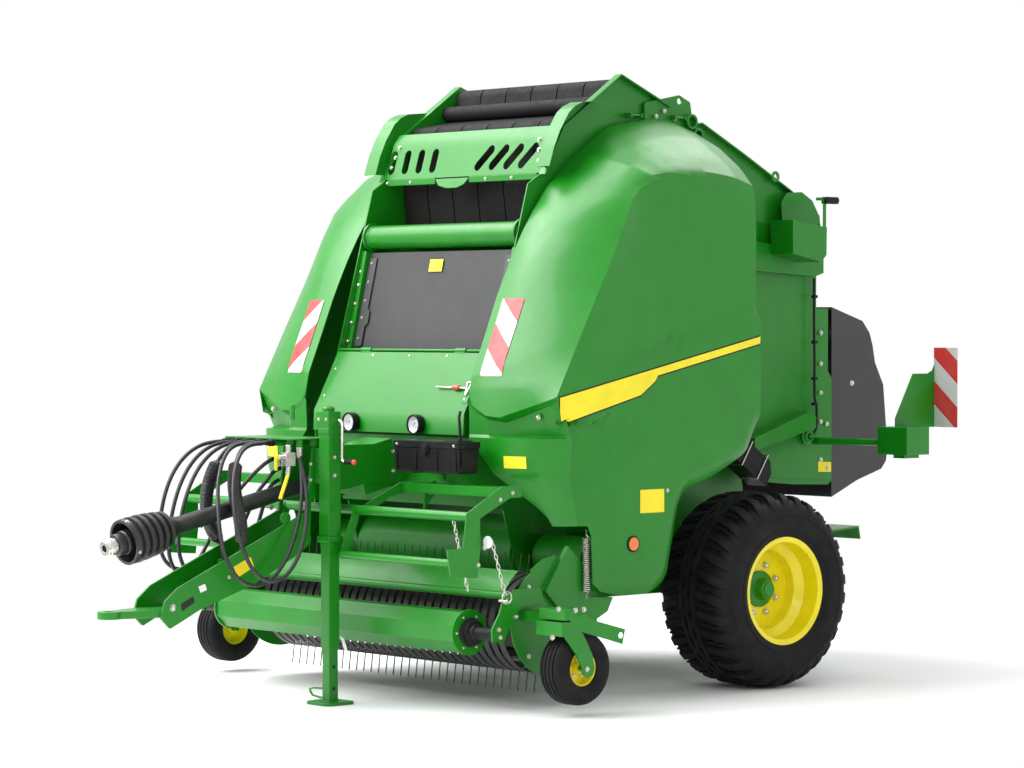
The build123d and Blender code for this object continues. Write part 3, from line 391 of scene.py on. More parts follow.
class Shape:
    """Points and faces gathered for one mesh piece."""

    def __init__(self):
        self.points = []
        self.faces = []

    def add(self, points, faces):
        start = len(self.points)
        self.points += [Vector(point) for point in points]
        self.faces += [[start + corner for corner in face] for face in faces]
        return self

    def grid(self, rows, closed=False):
        wide = len(rows[0])
        faces = []
        for row in range(len(rows) - 1):
            for column in range(wide if closed else wide - 1):
                beside = (column + 1) % wide
                faces.append([row * wide + column, row * wide + beside, (row + 1) * wide + beside,
                              (row + 1) * wide + column])
        return self.add([point for row in rows for point in row], faces)

    def prism(self, outline, push):
        """A flat outline pushed along a vector and closed at both ends."""
        count = len(outline)
        near = [Vector(point) for point in outline]
        faces = [list(range(count)), list(range(2 * count - 1, count - 1, -1))]
        faces += [[i, (i + 1) % count, count + (i + 1) % count, count + i] for i in range(count)]
        return self.add(near + [point + Vector(push) for point in near], faces)

    def side_plate(self, x, outline, thick):
        """A plate parallel to the machine's side from (ahead, height) corners."""
        return self.prism([at(x, *corner) for corner in outline], (thick, 0, 0))

    def box(self, x0, x1, ahead0, ahead1, z0, z1):
        outline = [at(x0, ahead0, z0), at(x1, ahead0, z0), at(x1, ahead1, z0), at(x0, ahead1, z0)]
        return self.prism(outline, (0, 0, z1 - z0))

    def turned(self, profile, origin, axis, sides=40):
        """A profile of (distance along the axis, radius) turned around it."""
        side, up = frame_along(axis)
        forward = Vector(axis).normalized()
        angles = [2 * pi * step / sides for step in range(sides)]
        outwards = [cos(angle) * side + sin(angle) * up for angle in angles]
        rows = [[Vector(origin) + forward * along + radius * out for out in outwards]
                for along, radius in profile]
        return self.grid(rows, closed=True)

    def rod(self, start, end, radius, sides=16, round_off=0.15):
        """A round bar with slightly rounded ends."""
        start, end = Vector(start), Vector(end)
        length = (end - start).length
        cut = radius * round_off
        return self.turned([(0, 0), (0, radius - cut), (cut, radius), (length - cut, radius),
                            (length, radius - cut), (length, 0)], start, end - start, sides)

    def tube(self, path, radius, sides, closed=False):
        """A round wire along points; radius is one number or one for each point."""
        path = [Vector(point) for point in path]
        count = len(path)
        radii = [radius] * count if isinstance(radius, (int, float)) else radius
        angles = [2 * pi * step / sides for step in range(sides)]
        side = None
        rows = []
        for index, point in enumerate(path):
            before = path[index - 1] if closed or index else point
            after = path[(index + 1) % count] if closed or index < count - 1 else point
            forward = (after - before).normalized()
            if side is None:
                side, _ = frame_along(forward)
            side = (side - forward * side.dot(forward)).normalized()
            up = forward.cross(side)
            rows.append([point + radii[index] * (cos(angle) * side + sin(angle) * up) for angle in angles])
        if closed:
            rows.append(rows[0])
            return self.grid(rows, closed=True)
        rows = [[path[0]] * sides] + rows + [[path[-1]] * sides]
        return self.grid(rows, closed=True)

    def mesh(self, name, merge=1e-6):
        bm = bmesh.new()
        corners = [bm.verts.new(point) for point in self.points]
        for face in self.faces:
            bm.faces.new([corners[index] for index in face])
        bmesh.ops.remove_doubles(bm, verts=bm.verts, dist=merge)
        bmesh.ops.dissolve_degenerate(bm, edges=bm.edges, dist=merge)
        bmesh.ops.recalc_face_normals(bm, faces=bm.faces)
        return mesh_from(bm, name)

    def piece(self, name, body, finish, bevel=0.0, segments=2, stands_for=(), sharp=SHARP):
        obj = new_object(name, self.mesh(name))
        return settle(obj, body, finish, bevel, segments, stands_for, sharp)


def wire(route, radius, sides=10):
    """A round wire through (x, ahead, height) places."""
    return Shape().tube([at(*place) for place in route], radius, sides)


# the edge that frame pieces are given, unless EDGE says otherwise
PLAIN_EDGE = 0.003
# the roller between the upper belts: (ahead, height), reach from its axis and half its length
TOP_ROLLER = (.68, 3.06)
TOP_ROLLER_REACH = .12
TOP_ROLLER_HALF = .617
# the gauge arms' outer faces are drawn in a little
GAUGE_ARM_OUT = 1.5
GAUGE_ARM_KEPT = 1.4955


def dressed_copy(node, bevel):
    """A merged copy of a frame node with rounded edges and its finish."""
    source = frame["nodes"][node].data
    bm = bmesh.new()
    bm.from_mesh(source)
    bmesh.ops.remove_doubles(bm, verts=bm.verts, dist=1e-5)
    bmesh.ops.dissolve_limit(bm, angle_limit=radians(0.6), verts=bm.verts, edges=bm.edges)
    mesh = mesh_from(bm, node + "_skin")
    mesh.materials.clear()
    obj = new_object(node + "_skin", mesh)
    if node == "main_frame":
        shade_top_roller(mesh)
    if node == "gauge_arms":
        for vertex in mesh.vertices:
            if abs(vertex.co.x) > GAUGE_ARM_OUT:
                vertex.co.x = copysign(GAUGE_ARM_KEPT, vertex.co.x)
    return settle(obj, BODY_OF[node], REPAINTED.get(node, SLOT_OF[node]), bevel, stands_for=(node,))


def shade_top_roller(mesh):
    """Gives the roller between the upper belts the belts' rubber instead of paint."""
    mesh.materials.append(finish_for("green_paint"))
    mesh.materials.append(finish_for("belt_rubber"))
    for polygon in mesh.polygons:
        place = polygon.center
        away = hypot(AXLE.y - place.y - TOP_ROLLER[0], place.z - TOP_ROLLER[1])
        if away < TOP_ROLLER_REACH and abs(place.x) < TOP_ROLLER_HALF:
            polygon.material_index = 1


# ---------------------------------------------------------------- geometry nodes
class Recipe(Nodes):
    """A Geometry Nodes tree being written, with named inputs."""

    KINDS = {int: "NodeSocketInt", float: "NodeSocketFloat", tuple: "NodeSocketVector"}

    def __init__(self, name, **sizes):
        super().__init__(bpy.data.node_groups.new(name, "GeometryNodeTree"))
        face = self.tree.interface
        face.new_socket("Geometry", in_out="INPUT", socket_type="NodeSocketGeometry")
        face.new_socket("Geometry", in_out="OUTPUT", socket_type="NodeSocketGeometry")
        for key, value in sizes.items():
            socket = face.new_socket(key, in_out="INPUT", socket_type=self.KINDS[type(value)])
            socket.default_value = value
        face.new_socket("Material", in_out="INPUT", socket_type="NodeSocketMaterial")
        self.given = self.tree.nodes.new("NodeGroupInput")
        self.result = self.tree.nodes.new("NodeGroupOutput")

    def value(self, name):
        return Wire(self.tree, self.given.outputs[name])

    def close(self, points, instance, **places):
        """Puts the instance on the points and finishes the tree."""
        copies = self.node("GeometryNodeInstanceOnPoints", Points=points, Instance=instance, **places)
        real = self.node("GeometryNodeRealizeInstances", _0=copies)
        coloured = self.node("GeometryNodeSetMaterial", Geometry=real, Material=self.value("Material"))
        self.tree.links.new(coloured.socket, self.result.inputs[0])
        return self

    def run(self, obj, finish, **sizes):
        """Applies the tree to an object and leaves a plain mesh."""
        modifier = obj.modifiers.new(self.tree.name, "NODES")
        modifier.node_group = self.tree
        values = {"Material": finish_for(finish), **sizes}
        for item in self.tree.interface.items_tree:
            if item.in_out == "INPUT" and item.name in values:
                modifier[item.identifier] = values[item.name]
        return bake_modifiers(obj)


def turned_copies(recipe, points, turn):
    """Finishes a tree that turns each copy of its shape around X."""
    rotation = recipe.node("FunctionNodeEulerToRotation", _0=recipe.node("ShaderNodeCombineXYZ", X=turn))
    return recipe.close(points, recipe.value("Geometry"), Rotation=rotation)


def ring_recipe():
    """Copies of a shape turned evenly around the X axis."""
    recipe = Recipe("around_the_axle", Count=12)
    points = recipe.node("GeometryNodePoints", Count=recipe.value("Count"))
    index = recipe.node("GeometryNodeInputIndex")
    return turned_copies(recipe, points, index * (2 * pi) / recipe.value("Count"))


def row_recipe():
    """Copies of a shape in a row, each turned a little further around X."""
    recipe = Recipe("in_a_row", Count=12, Step=(0.1, 0.0, 0.0), Twist=0.0)
    line = recipe.node("GeometryNodeMeshLine", Count=recipe.value("Count"), Offset=recipe.value("Step"))
    return turned_copies(recipe, line, recipe.node("GeometryNodeInputIndex") * recipe.value("Twist"))


def bolt_recipe():
    """A bolt head with its washer on each point, facing the point's own direction."""
    recipe = Recipe("bolt_heads", Head=0.75, Washer=1.35, Sides=6)
    head = recipe.node("GeometryNodeMeshCylinder", Vertices=recipe.value("Sides"), Radius=1.0,
                       Depth=recipe.value("Head"))
    head = recipe.node("GeometryNodeTransform", Geometry=head,
                       Translation=recipe.node("ShaderNodeCombineXYZ", Z=recipe.value("Head") * 0.5 + 0.2))
    crown = recipe.node("GeometryNodeMeshUVSphere", Segments=12, Rings=6, Radius=0.82)
    crown = recipe.node("GeometryNodeTransform", Geometry=crown, Scale=(1.0, 1.0, 0.35),
                        Translation=recipe.node("ShaderNodeCombineXYZ", Z=recipe.value("Head") + 0.2))
    washer = recipe.node("GeometryNodeMeshCylinder", Vertices=16, Radius=recipe.value("Washer"), Depth=0.22)
    washer = recipe.node("GeometryNodeTransform", Geometry=washer, Translation=(0.0, 0.0, 0.1))
    join = recipe.tree.nodes.new("GeometryNodeJoinGeometry")
    for part in (head, crown, washer):
        recipe.tree.links.new(part.socket, join.inputs[0])
    facing = recipe.node("GeometryNodeInputNamedAttribute", {"data_type": "FLOAT_VECTOR"}, Name="facing")
    size = recipe.node("GeometryNodeInputNamedAttribute", {"data_type": "FLOAT"}, Name="size")
    rotation = recipe.node("FunctionNodeAlignRotationToVector", {"axis": "Z"}, Vector=facing)
    bolt = Wire(recipe.tree, join.outputs[0])
    return recipe.close(recipe.value("Geometry"), bolt, Rotation=rotation, Scale=size)


RECIPES = {}


def recipe_of(maker):
    """The tree that a function writes, written once."""
    if maker not in RECIPES:
        RECIPES[maker] = maker()
    return RECIPES[maker]


def around_axle(name, shape, count, centre, body):
    """A piece of tread made about the origin, copied around X and moved to its centre."""
    obj = new_object(name, shape.mesh(name))
    recipe_of(ring_recipe).run(obj, "tyre_rubber", Count=count)
    obj.data.transform(Matrix.Translation(centre))
    return settle(obj, body, "tyre_rubber")


def bolts(name, body, spots, finish="plated_steel"):
    """Six-sided bolt heads at (point, facing, radius) spots, as one piece."""
    sizes = bpy.context.scene.baler_bolts
    mesh = bpy.data.meshes.new(name)
    mesh.from_pydata([tuple(spot[0]) for spot in spots], [], [])
    facing = mesh.attributes.new("facing", "FLOAT_VECTOR", "POINT")
    facing.data.foreach_set("vector", np.array([tuple(spot[1]) for spot in spots]).ravel())
    size = mesh.attributes.new("size", "FLOAT", "POINT")
    size.data.foreach_set("value", np.array([float(spot[2]) for spot in spots]))
    obj = new_object(name, mesh)
    recipe_of(bolt_recipe).run(obj, finish, Head=sizes.head, Washer=sizes.washer, Sides=6)
    return settle(obj, body, finish, sharp=radians(40))


# ---------------------------------------------------------------- the stage
def lamp(name, place, aim, size, radiance):
    """A square softbox of a given radiance."""
    light = bpy.data.lights.new(name, "AREA")
    light.size = size
    light.energy = radiance * pi * size * size
    obj = new_object(name, light)
    obj.location = place
    obj.rotation_euler = (Vector(aim) - Vector(place)).to_track_quat("-Z", "Y").to_euler()


def seen_rays(tree):
    """1 for rays from the camera, off glossy surfaces and through glass."""
    rays = tree.nodes.new("ShaderNodeLightPath")
    camera, glossy, through = (Wire(tree, rays.outputs[name]) for name in (
        "Is Camera Ray", "Is Glossy Ray", "Is Transmission Ray"))
    return camera.largest(glossy).largest(through)


# the softboxes: place, aim, size in metres and radiance
SOFTBOXES = {
    "front_box": ((-7.2, -4.4, 7.4), (0.6, -0.8, 1.8), 5.0, 3.2),
    "rear_box": ((-0.6, 7.0, 10.0), (0.9, 0.4, 2.4), 6.0, 3.6),
    "roof_box": ((-4.2, -1.6, 10.0), (0.8, -0.4, 2.3), 7.5, 4.9),
    "key": ((9.5, -5.0, 6.0), (0.6, 0, 1.2), 4.5, 3.0),
    "face_box": ((-3.3, -8.5, 7.8), (0.8, -0.6, 2.0), 7.6, 7.2),
}
SKY_LIGHT = 0.7
SKY_SEEN = 1.0
CAMERA_X, CAMERA_AHEAD, CAMERA_Z = 13.187, 12.490, 1.916
CAMERA_TURN = radians(48.4)
CAMERA_DIP = radians(1.09)
CAMERA_LENS = 116.5


class BALER_OT_stage(bpy.types.Operator):
    """Builds the floor, the lights and the camera"""
    bl_idname = "baler.stage"
    bl_label = "Stage"

    def execute(self, context):
        scene = context.scene
        scene.view_settings.view_transform = "Standard"
        bm = bmesh.new()
        bmesh.ops.create_grid(bm, x_segments=1, y_segments=1, size=90)
        floor = new_object("floor", mesh_from(bm, "floor"))
        f = Finish("floor")
        floor.data.materials.append(f.set(Base_Color=(0.93, 0.93, 0.93), Roughness=0.9,
                                          Specular_IOR_Level=0.1))
        x, y, _ = f.axes()
        far = f.ramp(x * x + y * y * 0.55, 5.0, 16.0) * seen_rays(f.tree)
        white = f.tree.nodes.new("ShaderNodeEmission")
        blend = f.tree.nodes.new("ShaderNodeMixShader")
        connect(f.tree, blend.inputs[0], far)
        f.tree.links.new(f.surface.outputs[0], blend.inputs[1])
        f.tree.links.new(white.outputs[0], blend.inputs[2])
        f.tree.links.new(blend.outputs[0], f.tree.nodes["Material Output"].inputs[0])
        world = bpy.data.worlds.new("world")
        scene.world = world
        world.use_nodes = True
        tree = world.node_tree
        colour, strength = tree.nodes["Background"].inputs[:2]
        connect(tree, colour, (1.0, 1.0, 1.0))
        connect(tree, strength, seen_rays(tree) * (SKY_SEEN - SKY_LIGHT) + SKY_LIGHT)
        for name, given in SOFTBOXES.items():
            lamp(name, *given)
        camera = bpy.data.cameras.new("camera")
        camera.lens = CAMERA_LENS
        camera.sensor_width = 36.0
        camera.clip_end = 200
        view = new_object("camera", camera)
        view.location = at(CAMERA_X, CAMERA_AHEAD, CAMERA_Z)
        level = cos(CAMERA_DIP)
        look = Vector((-sin(CAMERA_TURN) * level, cos(CAMERA_TURN) * level, -sin(CAMERA_DIP)))
        view.rotation_euler = look.to_track_quat("-Z", "Y").to_euler()
        scene.camera = view
        return {"FINISHED"}


# ---------------------------------------------------------------- hoses
# each hose's route from its gland to its coupling: x, distance ahead of the axle, height, in metres
HOSES = {
    "hose_1": (1.810, (
        (-.382, 2.375, 1.306), (-.382, 2.480, 1.306), (-.385, 2.590, 1.275), (-.388, 2.685, 1.200),
        (-.389, 2.750, 1.095), (-.389, 2.788, .970), (-.388, 2.800, .850), (-.386, 2.792, .742),
        (-.382, 2.735, .676), (-.373, 2.652, .662), (-.358, 2.580, .706), (-.340, 2.532, .800),
        (-.312, 2.490, .905), (-.272, 2.445, 1.005), (-.226, 2.392, 1.092), (-.188, 2.338, 1.162),
        (-.163, 2.287, 1.208), (-.156, 2.222, 1.228), (-.156, 2.165, 1.228),
    )),
    "hose_2": (1.851, (
        (-.300, 2.375, 1.306), (-.300, 2.475, 1.306), (-.302, 2.580, 1.274), (-.304, 2.668, 1.202),
        (-.305, 2.734, 1.100), (-.305, 2.777, .980), (-.305, 2.801, .860), (-.303, 2.806, .742),
        (-.298, 2.762, .652), (-.290, 2.680, .600), (-.280, 2.588, .604), (-.268, 2.512, .660),
        (-.252, 2.455, .750), (-.230, 2.412, .855), (-.206, 2.378, .955), (-.184, 2.342, 1.050),
        (-.162, 2.293, 1.113), (-.158, 2.261, 1.151), (-.156, 2.215, 1.172), (-.156, 2.165, 1.172),
    )),
    "hose_3": (1.802, (
        (-.220, 2.375, 1.306), (-.220, 2.470, 1.306), (-.223, 2.572, 1.275), (-.226, 2.660, 1.205),
        (-.227, 2.727, 1.105), (-.228, 2.771, .990), (-.228, 2.797, .870), (-.226, 2.800, .755),
        (-.222, 2.752, .658), (-.214, 2.662, .602), (-.206, 2.560, .600), (-.198, 2.470, .648),
        (-.190, 2.402, .732), (-.182, 2.360, .830), (-.172, 2.330, .930), (-.162, 2.293, 1.057),
        (-.158, 2.261, 1.095), (-.156, 2.215, 1.116), (-.156, 2.165, 1.116),
    )),
    "hose_4": (1.954, (
        (-.120, 2.375, 1.306), (-.120, 2.468, 1.306), (-.095, 2.575, 1.288), (-.035, 2.672, 1.222),
        (.028, 2.745, 1.120), (.092, 2.792, 1.000), (.148, 2.820, .865), (.188, 2.812, .740),
        (.204, 2.748, .645), (.208, 2.650, .610), (.208, 2.548, .640), (.202, 2.462, .722),
        (.188, 2.395, .830), (.168, 2.345, .940), (.140, 2.307, 1.042), (.104, 2.280, 1.128),
        (.070, 2.262, 1.204), (.070, 2.262, 1.285),
    )),
    "hose_5": (1.835, (
        (-.020, 2.375, 1.306), (-.020, 2.462, 1.306), (.005, 2.560, 1.290), (.056, 2.645, 1.236),
        (.112, 2.712, 1.145), (.164, 2.752, 1.035), (.208, 2.766, .915), (.240, 2.752, .800),
        (.254, 2.700, .690), (.258, 2.608, .632), (.258, 2.505, .650), (.254, 2.425, .735),
        (.244, 2.372, .850), (.222, 2.340, .965), (.190, 2.318, 1.070), (.150, 2.304, 1.155),
        (.112, 2.300, 1.220), (.112, 2.300, 1.285),
    )),
}
SLEEVES = (
    (
        (-.160, 2.377, 1.306), (-.160, 2.462, 1.306), (-.155, 2.545, 1.286), (-.146, 2.622, 1.215),
        (-.140, 2.685, 1.100), (-.135, 2.700, .970), (-.118, 2.680, .880), (-.086, 2.650, .820),
        (-.075, 2.640, .780), (-.075, 2.640, .735),
    ),
    (
        (-.070, 2.377, 1.306), (-.070, 2.462, 1.306), (-.038, 2.555, 1.282), (.000, 2.620, 1.195),
        (.052, 2.665, 1.080), (.104, 2.668, .955), (.104, 2.655, .870), (.086, 2.640, .810),
        (.075, 2.640, .775), (.075, 2.640, .735),
    ),
)
HOSE_RADIUS = 0.010


def smooth_curve(name, route, radius):
    data = bpy.data.curves.new(name, "CURVE")
    data.dimensions = "3D"
    spline = data.splines.new("NURBS")
    spline.points.add(len(route) - 1)
    for point, place in zip(spline.points, route):
        point.co = (*at(*place), 1.0)
    spline.order_u = 3
    spline.use_endpoint_u = True
    spline.resolution_u = 8
    data.bevel_depth = radius
    data.bevel_resolution = 4
    data.use_fill_caps = True
    return new_object(name, data)


def line_of(route):
    """Points along the smooth line that a route makes."""
    curve = smooth_curve("guide", route, 0.0)
    mesh = bpy.data.meshes.new_from_object(curve)
    points = [vertex.co.copy() for vertex in mesh.vertices]
    bpy.data.objects.remove(curve)
    return points


def evenly(points, step):
    """Places along a line of points, one every step, with their directions."""
    found = []
    left = 0.0
    for near, far in zip(points, points[1:]):
        run = (far - near).length
        while left <= run:
            found.append((near + (far - near) * (left / run), (far - near).normalized()))
            left += step
        left -= run
    return found


class BALER_OT_hoses(bpy.types.Operator):
    """Builds the hydraulic hoses, which hang free from their glands to their couplings"""
    bl_idname = "baler.hoses"
    bl_label = "Hoses"

    def execute(self, context):
        for name, (length, route) in HOSES.items():
            hose = smooth_curve(name + "_line", route, HOSE_RADIUS)
            hose.data.materials.append(finish_for("hose_rubber"))
            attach(hose, "chassis")
            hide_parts(name)
            tuple(at(*route[0]))
        return {"FINISHED"}


class BALER_OT_sleeves(bpy.types.Operator):
    """Builds the two ribbed sleeves that hang beside the hoses"""
    bl_idname = "baler.sleeves"
    bl_label = "Ribbed sleeves"

    def execute(self, context):
        thin, wide, rib, groove = 0.010, 0.0345, 0.0085, 0.0035
        first, last, taper = 0.34, 0.9, 0.03
        shape = Shape()
        for route in SLEEVES:
            places = evenly(line_of(route), rib / 4)
            radii = []
            for index in range(len(places)):
                share = index / (len(places) - 1)
                ribbed = min(1.0, max(0.0, (share - first) / taper), max(0.0, (last - share) / taper))
                wave = (1 + cos(2 * pi * index / 4)) / 2
                radii.append(thin + ribbed * (wide - thin - groove * wave))
            shape.tube([place for place, _ in places], radii, sides=18)
        shape.piece("ribbed_sleeves", "chassis", "sleeve_plastic", stands_for=("hose_sleeves",),
                    sharp=radians(60))
        return {"FINISHED"}


# ---------------------------------------------------------------- side covers
def between(table, value):
    """The value read from a table of (key, value) rows, straight between rows."""
    rows = sorted(table)
    if value <= rows[0][0]:
        return rows[0][1]
    for (low, first), (high, second) in zip(rows, rows[1:]):
        if value <= high:
            return first + (second - first) * (value - low) / (high - low)
    return rows[-1][1]


# lines over the side, as (ahead, height): its top, its foot and the ledge above which it lies deeper
CREASE = ((.123, 2.387), (.253, 2.46), (.382, 2.518), (.573, 2.588), (.719, 2.626), (.863, 2.627),
          (.966, 2.578), (1.031, 2.517), (1.092, 2.398), (1.233, 2.134), (1.394, 1.844), (1.555, 1.543))
LOWER_EDGE = ((.123, 1.382), (.198, 1.238), (.300, 1.185), (.472, 1.108), (.626, 1.072), (.683, 1.018),
              (.723, .857), (.768, .642), (.815, .583), (.909, .541), (1.132, .547), (1.243, .573),
              (1.306, .616), (1.335, .83), (1.379, .898), (1.46, .902))
LEDGE = ((.131, 1.979), (.261, 1.946), (.432, 1.900), (.643, 1.848), (.953, 1.768), (1.255, 1.664),
         (1.50, 1.60))
# (height, ahead) of the border to the front, and of the line where the side starts to lean in
FRONT_BORDER = ((.86, 1.375), (.90, 1.40), (1.157, 1.46), (1.335, 1.45), (1.42, 1.53), (1.543, 1.555))
SOFT_CREASE = ((.66, 1.132), (.797, 1.187), (1.039, 1.242), (1.142, 1.132), (1.312, .985), (1.417, .891))
COVER_X = 1.2
COVER_THICK = 0.006
COVER_STEPS = 52
# against the distance ahead: the ledge's height, how deep the side lies above it, how far out the crease is
LEDGE_GAP = ((.113, .068), (.757, .05), (1.245, .012))
RECESS = ((.1, .036), (.9, .026), (1.2, .008), (1.3, .0))
CREASE_X = ((.123, 1.166), (.86, 1.170), (.966, 1.172), (1.04, 1.188), (1.10, 1.2))
SOFT_FOOT, SOFT_LEAN = .6, 0.075
# the lower edge turns in, over a band beside the first points of LOWER_EDGE
EDGE_BAND, EDGE_TURN, TURNED_IN = 0.085, 0.034, 12
# (ahead, height): where the lower edge turns level, and the foot of the front's outer corner
HEEL = (1.46, .902)
CORNER = (1.555, 1.543)
# ahead of this the side's columns bend to the border of the front
BENDS_FROM = 1.3
# distances ahead of the axle at which the cover's side is set out, closer near its edges
COLUMNS = (.123, .135, .155, .19, .225, .26, .32, .382, .45, .51, .573, .62, .66, .69, .719, .745, .77,
           .80, .83, .863, .91, .961, 1.0, 1.031, 1.06, 1.092, 1.13, 1.16, 1.2, 1.233, 1.27, 1.3, 1.32,
           1.35, 1.394, 1.42, 1.44, 1.47, 1.50, 1.53, 1.555)


def side_x(ahead, z):
    """How far out the cover's side lies."""
    upper = between(LEDGE, ahead)
    gap = between(LEDGE_GAP, ahead)
    recess = between(RECESS, ahead)
    x = COVER_X
    if z >= upper:
        share = min(1.0, max(0.0, (z - upper) / max(0.02, between(CREASE, ahead) - upper)))
        x = COVER_X - recess + (between(CREASE_X, ahead) - COVER_X + recess) * share ** 3
    elif z > upper - gap:
        x = COVER_X - recess * (1 - (upper - z) / gap) ** 1.3
    if SOFT_FOOT < z < SOFT_CREASE[-1][0]:
        x -= max(0.0, ahead - between(SOFT_CREASE, z)) * SOFT_LEAN
    near = edge_distance(ahead, z)
    if near < EDGE_BAND:
        x -= EDGE_TURN * (1 - near / EDGE_BAND) ** 2
    return x


def edge_distance(ahead, z):
    """How far a point of the cover's side lies from its lower edge."""
    found = []
    for (a0, z0), (a1, z1) in zip(LOWER_EDGE, LOWER_EDGE[1:TURNED_IN]):
        along = (a1 - a0, z1 - z0)
        share = ((ahead - a0) * along[0] + (z - z0) * along[1]) / (along[0] ** 2 + along[1] ** 2)
        share = min(1.0, max(0.0, share))
        found.append(hypot(ahead - a0 - share * along[0], z - z0 - share * along[1]))
    return min(found)


def cover_side():
    """The side of the cover, from its lower edge up to its crease."""
    rows = []
    for ahead in COLUMNS:
        top = between(CREASE, ahead)
        low = HEEL[1] if ahead > HEEL[0] else between(LOWER_EDGE, ahead)
        row = []
        for step in range(COVER_STEPS + 1):
            z = low + (top - low) * (step / COVER_STEPS)
            a = ahead
            if ahead > BENDS_FROM and z < CORNER[1]:
                border = between(FRONT_BORDER, z)
                a = BENDS_FROM + (ahead - BENDS_FROM) * (border - BENDS_FROM) / (CORNER[0] - BENDS_FROM)
            row.append(at(side_x(a, z), a, z))
        rows.append(row)
    return rows


# the distances ahead at which the side's crease meets the points of INNER_LINE
INNER_FROM = (1.555, 1.394, 1.233, 1.092, 1.031, .961, .863, .719, .573, .382, .253, .123)
INNER_LINE = ((.66, 1.658, 1.545), (.66, 1.637, 1.643), (.66, 1.553, 1.840), (.66, 1.475, 2.030),
              (.66, 1.395, 2.200), (.66, 1.270, 2.420), (.66, 1.120, 2.615), (.665, 1.000, 2.722),
              (.672, .880, 2.812), (.672, .720, 2.918), (.672, .573, 2.955), (.672, .420, 2.974),
              (.672, .270, 2.972), (.672, .106, 2.924))
# where the front face ends above the recess
FACE_FOOT = ((1.2, 1.555, 1.543), (1.12, 1.574, 1.515), (1.04, 1.598, 1.490), (.96, 1.624, 1.463),
             (.88, 1.650, 1.438), (.80, 1.664, 1.445), (.73, 1.664, 1.475), (.66, 1.660, 1.510))


def point_of(line, share):
    """The point a share of the way along a line, counted in its own points."""
    place = share * (len(line) - 1)
    first = min(int(place), len(line) - 2)
    near, far = Vector(line[first]), Vector(line[first + 1])
    return near + (far - near) * (place - first)


def spread(line, count):
    """A line of points set out again evenly in its own parameter."""
    return [point_of(line, step / (count - 1)) for step in range(count)]


# cross sections over the cover's top, from the crease inwards: (share of the row, width, height)
TOP_SECTIONS = (
    (.123, ((0, 1.166, 2.387), (.18, 1.165, 2.600), (.40, 1.060, 2.708), (.66, .890, 2.820),
            (1, .665, 2.922))),
    (.573, ((0, 1.169, 2.588), (.18, 1.165, 2.675), (.40, 1.080, 2.758), (.66, .900, 2.862),
            (1, .668, 2.958))),
    (.863, ((0, 1.170, 2.627), (.18, 1.150, 2.672), (.40, 1.050, 2.738), (.66, .880, 2.805),
            (1, .668, 2.838))),
)


def top_section(ahead, share):
    """Width and height over the cover's top at a distance ahead and a share of the way inwards."""
    widths, heights = [], []
    for where, section in TOP_SECTIONS:
        widths.append((where, between([(s, x) for s, x, _ in section], share)))
        heights.append((where, between([(s, z) for s, _, z in section], share)))
    return between(widths, ahead), between(heights, ahead)


def cover_front():
    """The front and top of the cover, between its outer crease and its inner edge."""
    shares = [(ahead, place / (len(INNER_FROM) - 1)) for place, ahead in enumerate(INNER_FROM)]
    rows = []
    for ahead in reversed(COLUMNS):
        top = between(CREASE, ahead)
        near = Vector((side_x(ahead, top), ahead, top))
        far = point_of(INNER_LINE, between(shares, ahead))
        over_top = min(1.0, max(0.0, (1.06 - near.y) / .20))
        row = []
        for step in range(15):
            share = step / 14
            place = near + (far - near) * share
            bow = share * (1 - share)
            place.y += bow * ((far.y - near.y) * .9 * (1 - over_top) + .12 * over_top * (1 - share))
            place.z += bow * .10 * (1 - over_top) * between(((1.0, 1), (1.2, 0)), near.y)
            if over_top:
                x, z = top_section(near.y, share)
                first, last = top_section(near.y, 0), top_section(near.y, 1)
                x += (near.x - first[0]) * (1 - share) + (far.x - last[0]) * share
                z += (near.z - first[1]) * (1 - share) + (far.z - last[1]) * share
                place.x += (x - place.x) * over_top
                place.z += (z - place.z) * over_top
            row.append(at(*place))
        rows.append(row)
    rows[0] = [at(*place) for place in spread(FACE_FOOT, 15)]
    return rows


def face_point(front, x, z):
    """The place on the cover's front face at a width and a height."""
    found = []
    for row in front[1:]:
        for near, far in zip(row, row[1:]):
            if far.x <= x <= near.x:
                found.append(near + (far - near) * ((near.x - x) / (near.x - far.x)))
    for low, high in zip(found, found[1:]):
        if low.z <= z <= high.z:
            return low + (high - low) * ((z - low.z) / (high.z - low.z))
    return found[0]


